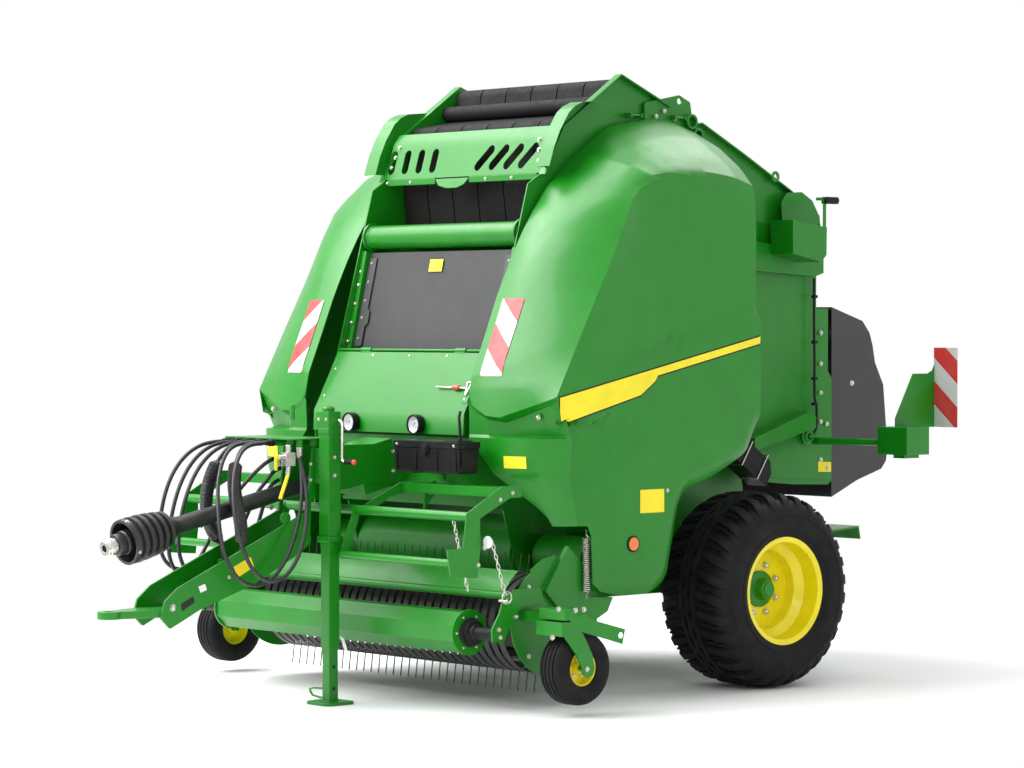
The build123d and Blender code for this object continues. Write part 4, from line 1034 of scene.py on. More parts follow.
def cover_chin():
    """The recess under the front face, its shelf and the chin below it."""
    back = ((1.2, 1.537, 1.515), (1.12, 1.545, 1.492), (1.04, 1.556, 1.466), (.96, 1.570, 1.438),
            (.88, 1.598, 1.412), (.80, 1.650, 1.425), (.73, 1.656, 1.455), (.66, 1.656, 1.495))
    shelf_back = ((1.199, 1.462, 1.350), (1.12, 1.495, 1.350), (1.04, 1.525, 1.350), (.96, 1.555, 1.350),
                  (.88, 1.592, 1.350), (.80, 1.646, 1.350), (.73, 1.650, 1.350), (.66, 1.650, 1.350))
    shelf_front = ((1.2, 1.450, 1.335), (1.165, 1.510, 1.335), (1.11, 1.578, 1.335), (1.04, 1.625, 1.335),
                   (.93, 1.651, 1.335), (.82, 1.660, 1.335), (.73, 1.658, 1.335), (.66, 1.656, 1.335))
    middle = ((1.199, 1.462, 1.157), (1.165, 1.515, 1.157), (1.11, 1.570, 1.157), (1.04, 1.612, 1.157),
              (.95, 1.640, 1.157), (.87, 1.648, 1.157), (.85, 1.650, 1.157), (.84, 1.650, 1.157))
    bottom = ((1.186, 1.402, .902), (1.16, 1.440, .902), (1.135, 1.470, .902), (1.10, 1.492, .902),
              (1.09, 1.496, .925), (1.08, 1.502, .945), (1.075, 1.507, .955), (1.07, 1.510, .965))
    rows = []
    lines = (FACE_FOOT, back, shelf_back, shelf_front, middle, bottom)
    for first, second, count in zip(lines, lines[1:], (3, 5, 4, 8, 10)):
        for step in range(count):
            share = step / count
            rows.append([Vector(a) + (Vector(b) - Vector(a)) * share for a, b in zip(first, second)])
    rows.append([Vector(point) for point in bottom])
    return [[at(*point) for point in spread(row, 22)] for row in rows]


def chin_point(way, x, z):
    """A place just in front of the chin, by its width and its height."""
    share = (z - 1.157) / (1.335 - 1.157)
    front = between(((.82, 1.660), (.93, 1.651), (1.04, 1.625), (1.11, 1.578)), x)
    foot = between(((.87, 1.648), (.95, 1.640), (1.04, 1.612), (1.11, 1.570)), x)
    return at(way * x, foot + (front - foot) * share + .003, z)


def cover_mesh(name, way):
    shape = Shape()
    shape.grid(cover_side()).grid(cover_front()).grid(cover_chin())
    if way < 0:
        shape.points = [Vector((-point.x, point.y, point.z)) for point in shape.points]
    return shape.mesh(name, merge=0.0004)


def thicken(obj, thick):
    """Gives an open skin its wall, inwards."""
    bm = bmesh.new()
    bm.from_mesh(obj.data)
    bmesh.ops.recalc_face_normals(bm, faces=bm.faces)
    middle = sum((vertex.co for vertex in bm.verts), Vector()) / len(bm.verts)
    outwards = sum(1 if face.normal.dot(Vector((middle.x, 0, 0))) > 0 else -1 for face in bm.faces)
    if outwards < 0:
        bmesh.ops.reverse_faces(bm, faces=bm.faces)
    bm.to_mesh(obj.data)
    bm.free()
    wall = obj.modifiers.new("wall", "SOLIDIFY")
    wall.thickness = thick
    wall.offset = -1
    wall.use_even_offset = False
    return bake_modifiers(obj)


# the warning plate on the front face: its inner edge, width, foot and top
PLATE_X, PLATE_WIDE = .722, .141
PLATE_FOOT, PLATE_TOP = 1.640, 2.027
FACE_OUT = Vector((0.0, -0.91, 0.42))
STRIPE_TOP = ((.114, 1.838), (1.53, 1.539))
STRIPE_REAR, STRIPE_INSET = .128, 0.006
STRIPE_FOOT = ((.114, 1.802), (.872, 1.640), (.885, 1.612), (.983, 1.545), (1.533, 1.406))


def stripe_patch(way, lift, grow):
    """A thin band that follows the side of the cover."""
    rows = []
    first, last = STRIPE_FOOT[0][0] - grow, STRIPE_FOOT[-1][0] + grow
    for step in range(71):
        ahead = first + (last - first) * step / 70
        top = between(STRIPE_TOP, ahead) + grow
        foot = between(STRIPE_FOOT, ahead) - grow
        row = []
        for part in range(9):
            z = foot + (top - foot) * part / 8
            a = max(STRIPE_REAR, min(ahead, between(FRONT_BORDER, z) - STRIPE_INSET))
            row.append(at(way * (side_x(a, z) + lift), a, z))
        rows.append(row)
    return rows


class BALER_OT_side_covers(bpy.types.Operator):
    """Builds the moulded covers on both sides, with their stripe, warning plates and labels"""
    bl_idname = "baler.side_covers"
    bl_label = "Side covers"

    def execute(self, context):
        front = cover_front()
        for side, way in SIDES:
            body = f"side_door_{side}"
            shell = new_object(f"cover_shell_{side}", cover_mesh(f"cover_shell_{side}", way))
            thicken(shell, COVER_THICK)
            settle(shell, body, "green_paint", bevel=0.006, stands_for=(f"side_cover_{side}",),
                   sharp=radians(24))
            for name, lift, grow, finish in (("stripe_outline", 0.0006, 0.008, "label_black"),
                                             ("stripe", 0.0012, 0.0, "yellow_paint")):
                Shape().grid(stripe_patch(way, lift, grow)).piece(f"{name}_{side}", body, finish)
            rows = []
            for up in range(9):
                z = PLATE_FOOT + (PLATE_TOP - PLATE_FOOT) * up / 8
                places = [face_point(front, PLATE_X + PLATE_WIDE * across / 3, z) for across in range(4)]
                rows.append([Vector((way * x, y, z)) + FACE_OUT * .0035 for x, y, z in places])
            plate = new_object(f"warning_plate_{side}", Shape().grid(rows).mesh(f"warning_plate_{side}"))
            thicken(plate, .002)
            settle(plate, body, "board_paint")
            x = side_x(.905, 1.01) + 0.0012
            corners = ((.822, .952), (.822, 1.069), (.989, 1.069), (.989, .952))
            patch = Shape().side_plate(way * x, corners, way * 0.0008)
            patch.piece(f"side_label_{side}", body, "label_yellow")
            eye = at(way * side_x(1.038, .80), 1.038, .80)
            rim = Shape().turned([(0, 0), (0, .041), (.006, .041), (.008, .034)], eye, (way, 0, 0))
            rim.piece(f"reflector_rim_{side}", body, "black_plastic", bevel=0.001)
            glass = Shape().turned([(.004, .034), (.008, .033), (.012, .022), (.013, 0)], eye, (way, 0, 0))
            glass.piece(f"side_reflector_{side}", body, "amber")
            rows = [[chin_point(way, .915 + .13 * step / 5, z) for step in range(6)]
                    for z in (1.188, 1.207, 1.226, 1.248)]
            Shape().grid(rows).piece(f"chin_label_{side}", body, "label_yellow")
            bolts(f"cover_bolts_{side}", body,
                  [(at(way * 1.07, 1.556, 1.440), (0, -1, 0), .011),
                   (at(way * (side_x(.80, 1.06) + .001), .80, 1.06), (way, 0, 0), .008)])
        return {"FINISHED"}


# ---------------------------------------------------------------- wheels
TYRE_PROFILE = ((.205, .262), (.222, .275), (.234, .305), (.240, .345), (.240, .395), (.236, .430),
                (.222, .452), (.202, .468), (.172, .478), (.120, .4835), (.060, .4860))
WHEEL_X = 1.035


def turned_ring(half, centre, sides, wall=0.012):
    """A ring turned around X from the half profile of its outer side, with an inner face."""
    outer = [(-x, r) for x, r in half] + [(x, r) for x, r in reversed(half)]
    inner = [(x * 0.94, r - wall) for x, r in reversed(outer[1:-1])]
    return Shape().turned(outer + inner + outer[:1], centre, X_AXIS, sides)


def lug_shape(way, pitch, height):
    """One curved bar of the tread, about the axle, on one shoulder of the tyre."""
    stations = ((.066, 1.0, .485, -.010, .017), (.100, 1.1, .485, .004, .019),
                (.135, 1.1, .4835, .022, .0215), (.168, 1.1, .480, .044, .024),
                (.196, 1.05, .471, .066, .026), (.215, .95, .457, .083, .027),
                (.229, .65, .436, .096, .026), (.2375, .25, .408, .104, .023))
    rows = []
    for x, share, base, turn, half in stations:
        rise = height * share
        lean = max(0.0, (x - .185) / .055)
        row = []
        for over, wide in ((0, 1.12), (.8, .96), (1, .84), (1, -.84), (.8, -.96), (0, -1.12)):
            radius = base - .003 + (rise + .003) * over * (1 - .75 * lean)
            out = x + rise * over * .42 * lean
            angle = turn + wide * half / .49 + (pitch / 2 if way < 0 else 0)
            row.append(Vector((way * out, radius * cos(angle), radius * sin(angle))))
        rows.append(row)
    shape = Shape().grid(rows, closed=True)
    for row in (rows[0], rows[-1]):
        shape.add(row, [list(range(len(row)))])
    return shape


def centre_ribs():
    """Three ribs around the crown, each a slight zigzag."""
    shape = Shape()
    waves, per_wave, swing = 30, 8, 0.007
    count = waves * per_wave
    for middle, phase in ((-.040, 0.0), (0.0, 0.5), (.040, 0.0)):
        rows = []
        for step in range(count):
            angle = 2 * pi * step / count
            shift = middle + (abs((step / per_wave + phase) % 1.0 - 0.5) * 4 - 1) * swing
            rows.append([Vector((shift + x, r * cos(angle), r * sin(angle)))
                         for x, r in ((-.0155, .488), (-.0135, .5075), (.0135, .5075), (.0155, .488))])
        shape.grid(rows + rows[:1])
    return shape


def sipes(pitch):
    """Small blocks between two bars of the tread."""
    shape = Shape()
    for way in (-1, 1):
        shift = pitch / 2 if way > 0 else pitch
        for x0, x1, turn in ((.078, .128, .0), (.145, .178, .03)):
            low, high = ([Vector((way * x, radius * cos(shift + turn + a), radius * sin(shift + turn + a)))
                          for x, a in ((x0, -.012), (x1, -.004), (x1, .016), (x0, .008))]
                         for radius in (.486, .4975))
            shape.grid([low, high], closed=True)
            shape.add(high, [[0, 1, 2, 3]])
    return shape


class BALER_OT_main_wheels(bpy.types.Operator):
    """Builds the tyres with their tread, and the studs of the hubs"""
    bl_idname = "baler.main_wheels"
    bl_label = "Main wheels"

    def execute(self, context):
        sizes = context.scene.baler_wheels
        pitch = 2 * pi / sizes.lugs
        for side, way in SIDES:
            body = f"wheel_{side}"
            centre = Vector((way * WHEEL_X, AXLE.y, AXLE.z))
            carcass = turned_ring(TYRE_PROFILE, centre, 96)
            for offset in (-1, 1):
                for radius, out in ((.318, .2385), (.405, .2405)):
                    low, high = offset * out * .985, offset * (out + .0005)
                    carcass.turned([(low, radius - .006), (high, radius - .003), (high, radius + .003),
                                    (low, radius + .006)], centre, X_AXIS, 96)
            carcass.piece(f"tyre_carcass_{side}", body, "tyre_rubber", stands_for=(f"tyre_{side}",))
            for half, name in ((1, "outer"), (-1, "inner")):
                lug = lug_shape(half * way, pitch, sizes.lug_height)
                around_axle(f"tread_{name}_{side}", lug, sizes.lugs, centre, body)
            ribs = new_object(f"tread_ribs_{side}", centre_ribs().mesh(f"tread_ribs_{side}"))
            ribs.data.transform(Matrix.Translation(centre))
            settle(ribs, body, "tyre_rubber")
            around_axle(f"tread_blocks_{side}", sipes(pitch), sizes.lugs, centre, body)
            places = around(way * (WHEEL_X + .038), 0, AXLE.z, .132, sizes.studs, pi / sizes.studs)
            bolts(f"wheel_studs_{side}", body, [(place, (way, 0, 0), .013) for place in places])
            cap = Shape().turned([(0, .052), (.010, .052), (.020, .046), (.026, .030), (.028, 0)],
                                 at(way * (WHEEL_X + .082), 0, AXLE.z), (way, 0, 0), 32)
            cap.piece(f"hub_cap_{side}", body, "green_paint", bevel=.0015)
            valve = Shape().rod(at(way * (WHEEL_X + .10), .17, AXLE.z + .06),
                                at(way * (WHEEL_X + .05), .19, AXLE.z + .067), .005, 10)
            valve.piece(f"valve_stem_{side}", body, "black_plastic")
        return {"FINISHED"}


GAUGE_AXLE = (1.615, .236)
GAUGE_HALF = ((.058, .089), (.066, .094), (.074, .112), (.0775, .135), (.0745, .157), (.064, .171),
              (.050, .1785), (.0415, .1805), (.0405, .175), (.0345, .175), (.0335, .1815), (.0175, .182),
              (.0165, .176), (.0105, .176), (.0095, .182), (.001, .182))


class BALER_OT_gauge_wheels(bpy.types.Operator):
    """Builds the small ribbed tyres beside the pickup"""
    bl_idname = "baler.gauge_wheels"
    bl_label = "Gauge wheels"

    def execute(self, context):
        for side, way in SIDES:
            body = f"gauge_wheel_{side}"
            tyre = turned_ring(GAUGE_HALF, at(way * 1.396, *GAUGE_AXLE), 72, .006)
            tyre.piece(f"ribbed_tyre_{side}", body, "tyre_rubber", stands_for=(f"gauge_tyre_{side}",))
            places = around(way * 1.416, *GAUGE_AXLE, .045, 5, pi - .3)
            bolts(f"gauge_studs_{side}", body, [(place, (way, 0, 0), .007) for place in places])
        return {"FINISHED"}


# ---------------------------------------------------------------- pickup
# (ahead, height) of the reel's axis; the first tine's place along X and the length of a row
REEL = (1.460, .410)
ROW_START, ROW_LONG = -.976, 1.952
TINE_BAR = .150


def tine_shape(reach, width):
    """One tine on each of the four bars, at the first place along the reel."""
    shape = Shape()
    turns = 10
    coil = [(2 * pi * step / turns, .012 - .014 * step / turns) for step in range(turns + 1)]
    line = [(.021 * cos(angle), -TINE_BAR + .021 * sin(angle), x) for angle, x in coil]
    line += [(.022, -TINE_BAR - .03, -.003), (.026, -TINE_BAR - .08, -.003), (.033, -.285, -.003),
             (.040, -reach + .002, -.003)]
    for quarter in range(4):
        c, s = cos(pi / 2 * quarter), sin(pi / 2 * quarter)
        points = [at(ROW_START + x, REEL[0] + ahead * c - up * s, REEL[1] + ahead * s + up * c)
                  for ahead, up, x in line]
        shape.tube(points, width / 2, sides=6)
    return shape


class BALER_OT_tines(bpy.types.Operator):
    """Builds the rows of spring tines of the pickup reel"""
    bl_idname = "baler.tines"
    bl_label = "Pickup tines"

    def execute(self, context):
        sizes = context.scene.baler_pickup
        step = ROW_LONG / (sizes.tines - 1)
        shape = tine_shape(sizes.tine_reach, sizes.tine_width)
        obj = new_object("pickup_tines", shape.mesh("pickup_tines"))
        recipe_of(row_recipe).run(obj, "tine_steel", Count=sizes.tines, Step=(step, 0.0, 0.0))
        settle(obj, "pickup_reel", "tine_steel")
        return {"FINISHED"}


LINK_LONG, LINK_WIDE, LINK_WIRE = .034, .020, .0055


def link_shape():
    """One chain link along X."""
    bend = (LINK_WIDE - LINK_WIRE) / 2
    path = []
    for step in range(12):
        angle = 2 * pi * step / 12
        end = 0 if abs(cos(angle)) < .01 else copysign(1, cos(angle))
        path.append((end * (LINK_LONG - LINK_WIDE) / 2 + bend * cos(angle), bend * sin(angle), 0))
    return Shape().tube(path, LINK_WIRE / 2, sides=6, closed=True)


def chain(name, start, end):
    """A straight chain of links, each turned a quarter from the one before."""
    run = end - start
    count = int(run.length / (LINK_LONG - 2 * LINK_WIRE)) + 1
    obj = new_object(name, link_shape().mesh(name))
    recipe_of(row_recipe).run(obj, "plated_steel", Count=count, Step=(run.length / (count - 1), 0.0, 0.0),
                              Twist=pi / 2)
    turn = run.to_track_quat("X", "Z").to_matrix().to_4x4()
    obj.data.transform(Matrix.Translation(start) @ turn)
    return obj


def stretching(obj):
    """Smooth-shades a steel piece that hangs between the chassis and the pickup, and bakes its placement into its
    mesh.
    """
    obj.data.shade_smooth()
    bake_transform(obj)


class BALER_OT_pickup_hangers(bpy.types.Operator):
    """Builds the chains and the lift springs between the frame and the pickup"""
    bl_idname = "baler.pickup_hangers"
    bl_label = "Chains and springs"

    def execute(self, context):
        for name, start, end in (("chain_1", (.700, 1.80, .955), (.885, 1.86, .600)),
                                 ("chain_2", (1.150, 1.93, .845), (1.1755, 1.86, .560)),
                                 ("chain_3", (-.700, 1.80, .955), (-.885, 1.86, .600))):
            top, foot = at(*start), at(*end)
            stretching(chain(name, top, foot))
        turns, per_turn, hook = 26, 10, .04
        for side, way in SIDES:
            top, foot = at(way * 1.150, 1.31, .880), at(way * 1.150, 1.31, .533)
            coil = top.z - foot.z - 2 * hook
            line = [top, top - Vector((0, 0, .025))]
            for step in range(turns * per_turn + 1):
                angle = 2 * pi * step / per_turn
                z = top.z - hook - coil * step / (turns * per_turn)
                line.append(Vector((top.x + .019 * cos(angle), top.y + .019 * sin(angle), z)))
            line += [foot + Vector((0, 0, .025)), foot]
            name = f"lift_spring_{side}"
            spring = new_object(name, Shape().tube(line, .0032, 6).mesh(name))
            spring.data.materials.append(finish_for("plated_steel"))
            stretching(spring)
        return {"FINISHED"}


# (ahead, height) of the windguard roller's axis
ROLLER = (1.920, .396)


class BALER_OT_pickup_fittings(bpy.types.Operator):
    """Builds the bolts and pins of the pickup and the hubs of its roller"""
    bl_idname = "baler.pickup_fittings"
    bl_label = "Pickup fittings"

    def execute(self, context):
        spots = both_sides(1.180, .010, ((1.915, .422), (1.904, .384), (1.803, .478)))
        spots += both_sides(1.4950, .0098, ((1.812, .537), (1.852, .403), (1.647, .526), (1.702, .525),
                                            (1.627, .236)))
        for way in (-1, 1):
            places = around(way * 1.100, 1.480, .440, .24, 4, pi / 4)
            spots += [(place, (way, 0, 0), .009) for place in places]
        bolts("pickup_bolts", "pickup", spots)
        for side, way in SIDES:
            ring = Shape().tube(around(way * 1.222, 1.9, .579, .030, 20), .0035, 8, closed=True)
            ring.rod(at(way * 1.168, 1.9, .561), at(way * 1.228, 1.9, .561), .007)
            ring.piece(f"linch_pin_{side}", "pickup", "plated_steel")
            heads = [(place, (way, 0, 0), .006) for place in around(way * .972, *ROLLER, .084, 6)]
            bolts(f"roller_bolts_{side}", "windguard_roller", heads)
            hub = Shape().turned([(.000, .031), (.000, .070), (.006, .072), (.012, .060), (.040, .060),
                                  (.044, .044), (.060, .042), (.064, .0325), (.190, .0325), (.190, .031),
                                  (.000, .031)], at(way * .9725, *ROLLER), (way, 0, 0), 32)
            for start in around(way * .990, *ROLLER, .055, 8):
                hub.rod(start, start + Vector((way * .020, 0, 0)), .008, 10)
            hub.piece(f"roller_hub_{side}", "windguard_roller", "black_plastic", bevel=.001)
        return {"FINISHED"}


# ---------------------------------------------------------------- drive shaft
PTO_FRONT = at(0, 3.402, .821)
PTO_REAR = at(0, 1.900, 1.150)


class BALER_OT_drive_shaft(bpy.types.Operator):
    """Builds the bellows of the drive shaft's guard, its yoke and the yoke's locking ring"""
    bl_idname = "baler.drive_shaft"
    bl_label = "Drive shaft"

    def execute(self, context):
        along = PTO_REAR - PTO_FRONT
        length = along.length
        profile = [(.118, .098), (.118, .112), (.140, .114)]
        place, radius = .146, .115
        for fold in range(5):
            profile += [(place + .004, radius - .016), (place + .016, radius - .016),
                        (place + .021, radius - .001), (place + .040, radius - .002)]
            place += .044
            radius -= .0015 + .0022 * fold
        profile += [(place + .01, .066), (place + .04, .056), (place + .06, .048), (.46, .043),
                    (length - .04, .0375), (length - .04, .031), (.46, .031), (.40, .038), (.350, .060),
                    (.24, .088), (.14, .096), (.118, .098)]
        bellows = Shape().turned(profile, PTO_FRONT, along, 48)
        bellows.piece("guard_bellows", "chassis", "guard_plastic", stands_for=("pto_guard",))
        collar = [(.004, .020), (.004, .036), (.008, .040), (.018, .040), (.022, .046), (.040, .046),
                  (.044, .038), (.062, .038), (.062, .020), (.004, .020)]
        collar = Shape().turned(collar, PTO_FRONT, along, 40)
        collar.piece("yoke_collar", "pto_shaft", "plated_steel", bevel=.001)
        yoke = [(.064, .022), (.064, .050), (.070, .056), (.110, .056), (.116, .062), (.150, .062),
                (.155, .050), (.155, .022), (.064, .022)]
        Shape().turned(yoke, PTO_FRONT, along, 12).piece("yoke", "pto_shaft", "guard_plastic", bevel=.003)
        side, up = frame_along(along)
        turns = [pi / 2 * step + .4 for step in range(4)]
        outwards = [cos(turn) * side + sin(turn) * up for turn in turns]
        middle = PTO_FRONT + along.normalized() * .130
        bolts("bellows_screws", "chassis", [(middle + out * .1125, out, .007) for out in outwards])
        return {"FINISHED"}


# ---------------------------------------------------------------- front fittings
class BALER_OT_toolbox(bpy.types.Operator):
    """Builds the toolbox with its lid, latch and vents"""
    bl_idname = "baler.toolbox"
    bl_label = "Toolbox"

    def execute(self, context):
        shape = Shape()
        rows = []
        for z, shrink in ((1.160, .016), (1.168, .008), (1.280, .003), (1.284, .003)):
            right, left, rear, front = .330 + shrink, .832 - shrink, 1.732 + shrink, 1.873 - shrink
            rows.append([at(right, rear, z), at(left, rear, z), at(left, front, z), at(right, front, z)])
        shape.grid(rows, closed=True)
        for row in (rows[0], rows[-1]):
            shape.add(row, [[0, 1, 2, 3]])
        for x in (.352, .500, .662, .806):
            shape.box(x - .005, x + .005, 1.868, 1.8745, 1.172, 1.278)
        shape.piece("toolbox_body", "chassis", "black_plastic", bevel=.006, segments=3,
                    stands_for=("toolbox",))
        lid = Shape().box(.330, .832, 1.730, 1.875, 1.285, 1.318)
        lid.box(.350, .812, 1.750, 1.860, 1.318, 1.3205)
        for step in range(7):
            lid.box(.700 + step * .014, .706 + step * .014, 1.752, 1.858, 1.3205, 1.3235)
        lid.piece("toolbox_lid", "chassis", "black_plastic", bevel=.004, segments=3)
        latch = Shape().box(.556, .606, 1.872, 1.881, 1.262, 1.304)
        latch.box(.566, .596, 1.881, 1.888, 1.250, 1.292)
        latch.piece("toolbox_latch", "chassis", "black_plastic", bevel=.002)
        vents = Shape()
        for step in range(5):
            vents.box(.836, .8375, 1.760 + step * .018, 1.768 + step * .018, 1.205, 1.262)
        vents.box(.832, .8365, 1.750, 1.852, 1.196, 1.270)
        vents.piece("toolbox_end", "chassis", "black_plastic", bevel=.001)
        prop = wire(((.762, 1.80, 1.318), (.760, 1.80, 1.36), (.752, 1.80, 1.44), (.750, 1.79, 1.468)),
                    .0075)
        prop.piece("lid_prop", "chassis", "black_plastic")
        bolts("toolbox_screws", "chassis", [(at(x, 1.875, 1.30), (0, -1, 0), .006) for x in (.36, .80)])
        return {"FINISHED"}


HOOD_OUT = Vector((0, -.884, .468))
SLAT_OUT = Vector((0, -.887, .46))
NET_OUT = Vector((0, -.972, .234))


def on_hood(x, z, off=0.0):
    """A place on the hood's sloping front, or off it."""
    return at(x, 1.640 - (z - 1.446) * .5294, z) + HOOD_OUT * off


def on_slats(x, z, off):
    """A place off the slotted panel's sloping front."""
    return at(x, 1.136 - (z - 2.672) * .293, z) + SLAT_OUT * off


def on_net(x, z, off):
    """A place off the net panel."""
    return at(x, 1.264 + (2.280 - z) * .2408, z) + NET_OUT * off


class BALER_OT_lamps(bpy.types.Operator):
    """Builds the work lamps' rims and reflectors, and the hood's latch, seams and screws"""
    bl_idname = "baler.lamps"
    bl_label = "Lamps and hood fittings"

    def execute(self, context):
        rims, glass = Shape(), Shape()
        for _, way in SIDES:
            centre = at(way * .263, 1.650, 1.390)
            rims.turned([(0, .030), (0, .050), (.034, .052), (.042, .050), (.042, .043), (.034, .041)],
                        centre, (0, -1, 0), 40)
            profile = [(.020, 0), (.020, .010), (.026, .012), (.024, .024), (.031, .034), (.036, .0425)]
            glass.turned(profile, centre, (0, -1, 0), 40)
        rims.piece("lamp_rims", "hood", "black_plastic", bevel=.0015, stands_for=("work_lamps",))
        glass.piece("lamp_reflectors", "hood", "lamp_glass")
        red = Shape().rod(on_hood(.462, 1.571, .018), on_hood(.512, 1.570, .018), .0125)
        red.piece("latch_grip", "hood", "signal_red", bevel=.002)
        steel = Shape().rod(on_hood(.33, 1.572, .018), on_hood(.462, 1.571, .018), .005)
        steel.rod(on_hood(.512, 1.570, .018), on_hood(.560, 1.568, .018), .006)
        for start, end in (((.553, 1.60), (.572, 1.535)), ((.585, 1.60), (.572, 1.535)),
                           ((.553, 1.60), (.585, 1.60))):
            steel.tube([on_hood(*start, .012), on_hood(*end, .012)], .006, 8)
        steel.piece("latch_linkage", "hood", "plated_steel")
        plate = Shape()
        plate.prism([on_hood(.548, 1.61, .002), on_hood(.598, 1.61, .002), on_hood(.598, 1.50, .002),
                     on_hood(.560, 1.50, .002)], HOOD_OUT * .006)
        plate.piece("latch_plate", "hood", "green_paint", bevel=.002)
        seam = Shape()
        for x in (-.592, .592):
            seam.tube([on_hood(x, z, .001) for z in (1.47, 1.56, 1.65, 1.735)], .004, 8)
        seam.tube([on_hood(x, 1.478, .0005) for x in (-.58, -.2, .2, .58)], .0035, 8)
        seam.piece("hood_beads", "hood", "green_paint")
        spots = [(on_hood(x, z), HOOD_OUT, .0075) for x in (-.565, .565) for z in (1.52, 1.66)]
        spots += [(on_hood(x, 1.735), HOOD_OUT, .007) for x in (-.3, 0, .3)]
        bolts("hood_screws", "hood", spots)
        return {"FINISHED"}


class BALER_OT_front_panels(bpy.types.Operator):
    """Builds the fittings of the slotted panel, the net panel and the posts beside it"""
    bl_idname = "baler.front_panels"
    bl_label = "Front panels"

    def execute(self, context):
        spots = [(on_slats(way * x, z, .006), SLAT_OUT, .008) for way in (-1, 1)
                 for x, z in ((.560, 2.845), (.575, 2.790), (.590, 2.735))]
        bolts("slat_screws", "chassis", spots)
        flange = Shape()
        lobe = ((-.205, 2.664), (-.169, 2.628), (-.100, 2.612), (-.017, 2.612), (.035, 2.628), (.069, 2.664))
        flange.prism([on_slats(x, z, .001) for x, z in lobe], SLAT_OUT * .006)
        flange.box(-.600, -.205, 1.128, 1.146, 2.640, 2.672).box(.069, .600, 1.128, 1.146, 2.640, 2.672)
        flange.piece("slat_panel_lip", "chassis", "green_paint", bevel=.0025)
        bolts("lip_screws", "chassis",
              [(at(x, 1.146, 2.655), (0, -1, 0), .0075) for x in (-.597, -.404, .204, .407)])
        corners = ((-.075, 2.235), (.030, 2.235), (.030, 2.172), (-.075, 2.172))
        label = Shape().prism([on_net(x, z, .0105) for x, z in corners], NET_OUT * .001)
        label.piece("net_panel_label", "chassis", "label_yellow")
        strips = Shape()
        for way in (-1, 1):
            corners = ((.578, 2.250), (.520, 2.250), (.520, 1.980), (.500, 1.965), (.500, 1.900),
                       (.520, 1.885), (.520, 1.780), (.578, 1.780))
            strips.prism([on_net(way * x, z, .0085) for x, z in corners], NET_OUT * .004)
        strips.piece("net_panel_strips", "chassis", "dark_paint", bevel=.001)
        for name, x, off, size, heights, finish in (
                ("strip_screws", .552, .0125, .006, (2.22, 2.12, 2.02, 1.93, 1.82), "bare_steel"),
                ("post_screws", .604, .034, .0085, (2.17, 2.10, 2.00, 1.90, 1.80), "plated_steel")):
            spots = [(on_net(way * x, z, off), NET_OUT, size) for way in (-1, 1) for z in heights]
            bolts(name, "chassis", spots, finish)
        ends = Shape()
        for way in (-1, 1):
            ends.turned([(0, .075), (.004, .079), (.018, .079), (.020, .066), (.030, .062)],
                        at(way * .612, 1.236, 2.362), (-way, 0, 0), 40)
        ends.piece("roller_end_rings", "chassis", "green_paint", bevel=.001)
        return {"FINISHED"}


class BALER_OT_jack(bpy.types.Operator):
    """Builds the jack's crank, its pins and the collar on its tube"""
    bl_idname = "baler.jack"
    bl_label = "Jack fittings"

    def execute(self, context):
        crank = wire(((.245, 2.170, 1.418), (.268, 2.170, 1.420), (.282, 2.168, 1.412), (.287, 2.168, 1.396),
                      (.287, 2.168, 1.240), (.290, 2.168, 1.222), (.302, 2.168, 1.214)), .0075)
        crank.rod(at(.302, 2.168, 1.214), at(.312, 2.168, 1.214), .009)
        crank.piece("crank", "chassis", "plated_steel")
        grip = Shape().rod(at(.310, 2.168, 1.214), at(.372, 2.168, 1.214), .0125, 16, .3)
        grip.piece("crank_grip", "chassis", "black_plastic")
        ball = Shape().turned([(.014 - .014 * cos(pi * k / 8), .014 * sin(pi * k / 8)) for k in range(9)],
                              at(.366, 2.168, 1.214), X_AXIS, 20)
        ball.piece("crank_knob", "chassis", "signal_red")
        collar = Shape().box(.162, .254, 2.137, 2.229, .812, .842)
        collar.box(.164, .252, 2.139, 2.227, 1.352, 1.380)
        collar.turned([(0, 0), (0, .030), (.018, .032), (.026, .024), (.030, 0)], at(.196, 2.183, 1.462),
                      Z_AXIS, 28)
        collar.piece("jack_collars", "chassis", "green_paint", bevel=.003)
        bolts("jack_bolts", "chassis",
              [(at(.247, 2.183, z), X_AXIS, .009) for z in (1.145, 1.235)]
              + [(at(.200 + dx, 2.222, 1.425), (0, -1, 0), .007) for dx in (-.03, .03)])
        # black discs over the pin holes: painted shade standing in for the dark inside of the holes
        hole_shades = Shape()
        for z in (.188, .078):
            hole_shades.turned([(0, 0), (0, .0095), (.0012, .0095), (.0012, 0)], at(.2364, 2.183, z), X_AXIS, 20)
        hole_shades.piece("jack_pin_holes", "jack_leg", "label_black")
        pin = wire(((.200, 2.140, .333), (.236, 2.140, .333), (.253, 2.138, .322), (.266, 2.134, .286),
                    (.268, 2.130, .268)), .0085, 12)
        pin.rod(at(.200, 2.156, .333), at(.200, 2.120, .333), .008)
        pin.piece("jack_pin", "jack_leg", "label_white")
        loop = wire(((.178, 2.150, .070), (.110, 2.150, .068), (.020, 2.140, .062), (-.025, 2.130, .052),
                     (-.032, 2.120, .038), (-.022, 2.115, .020), (.060, 2.112, .012),
                     (.115, 2.112, .012)), .0055)
        loop.piece("foot_loop", "jack_leg", "green_paint")
        return {"FINISHED"}


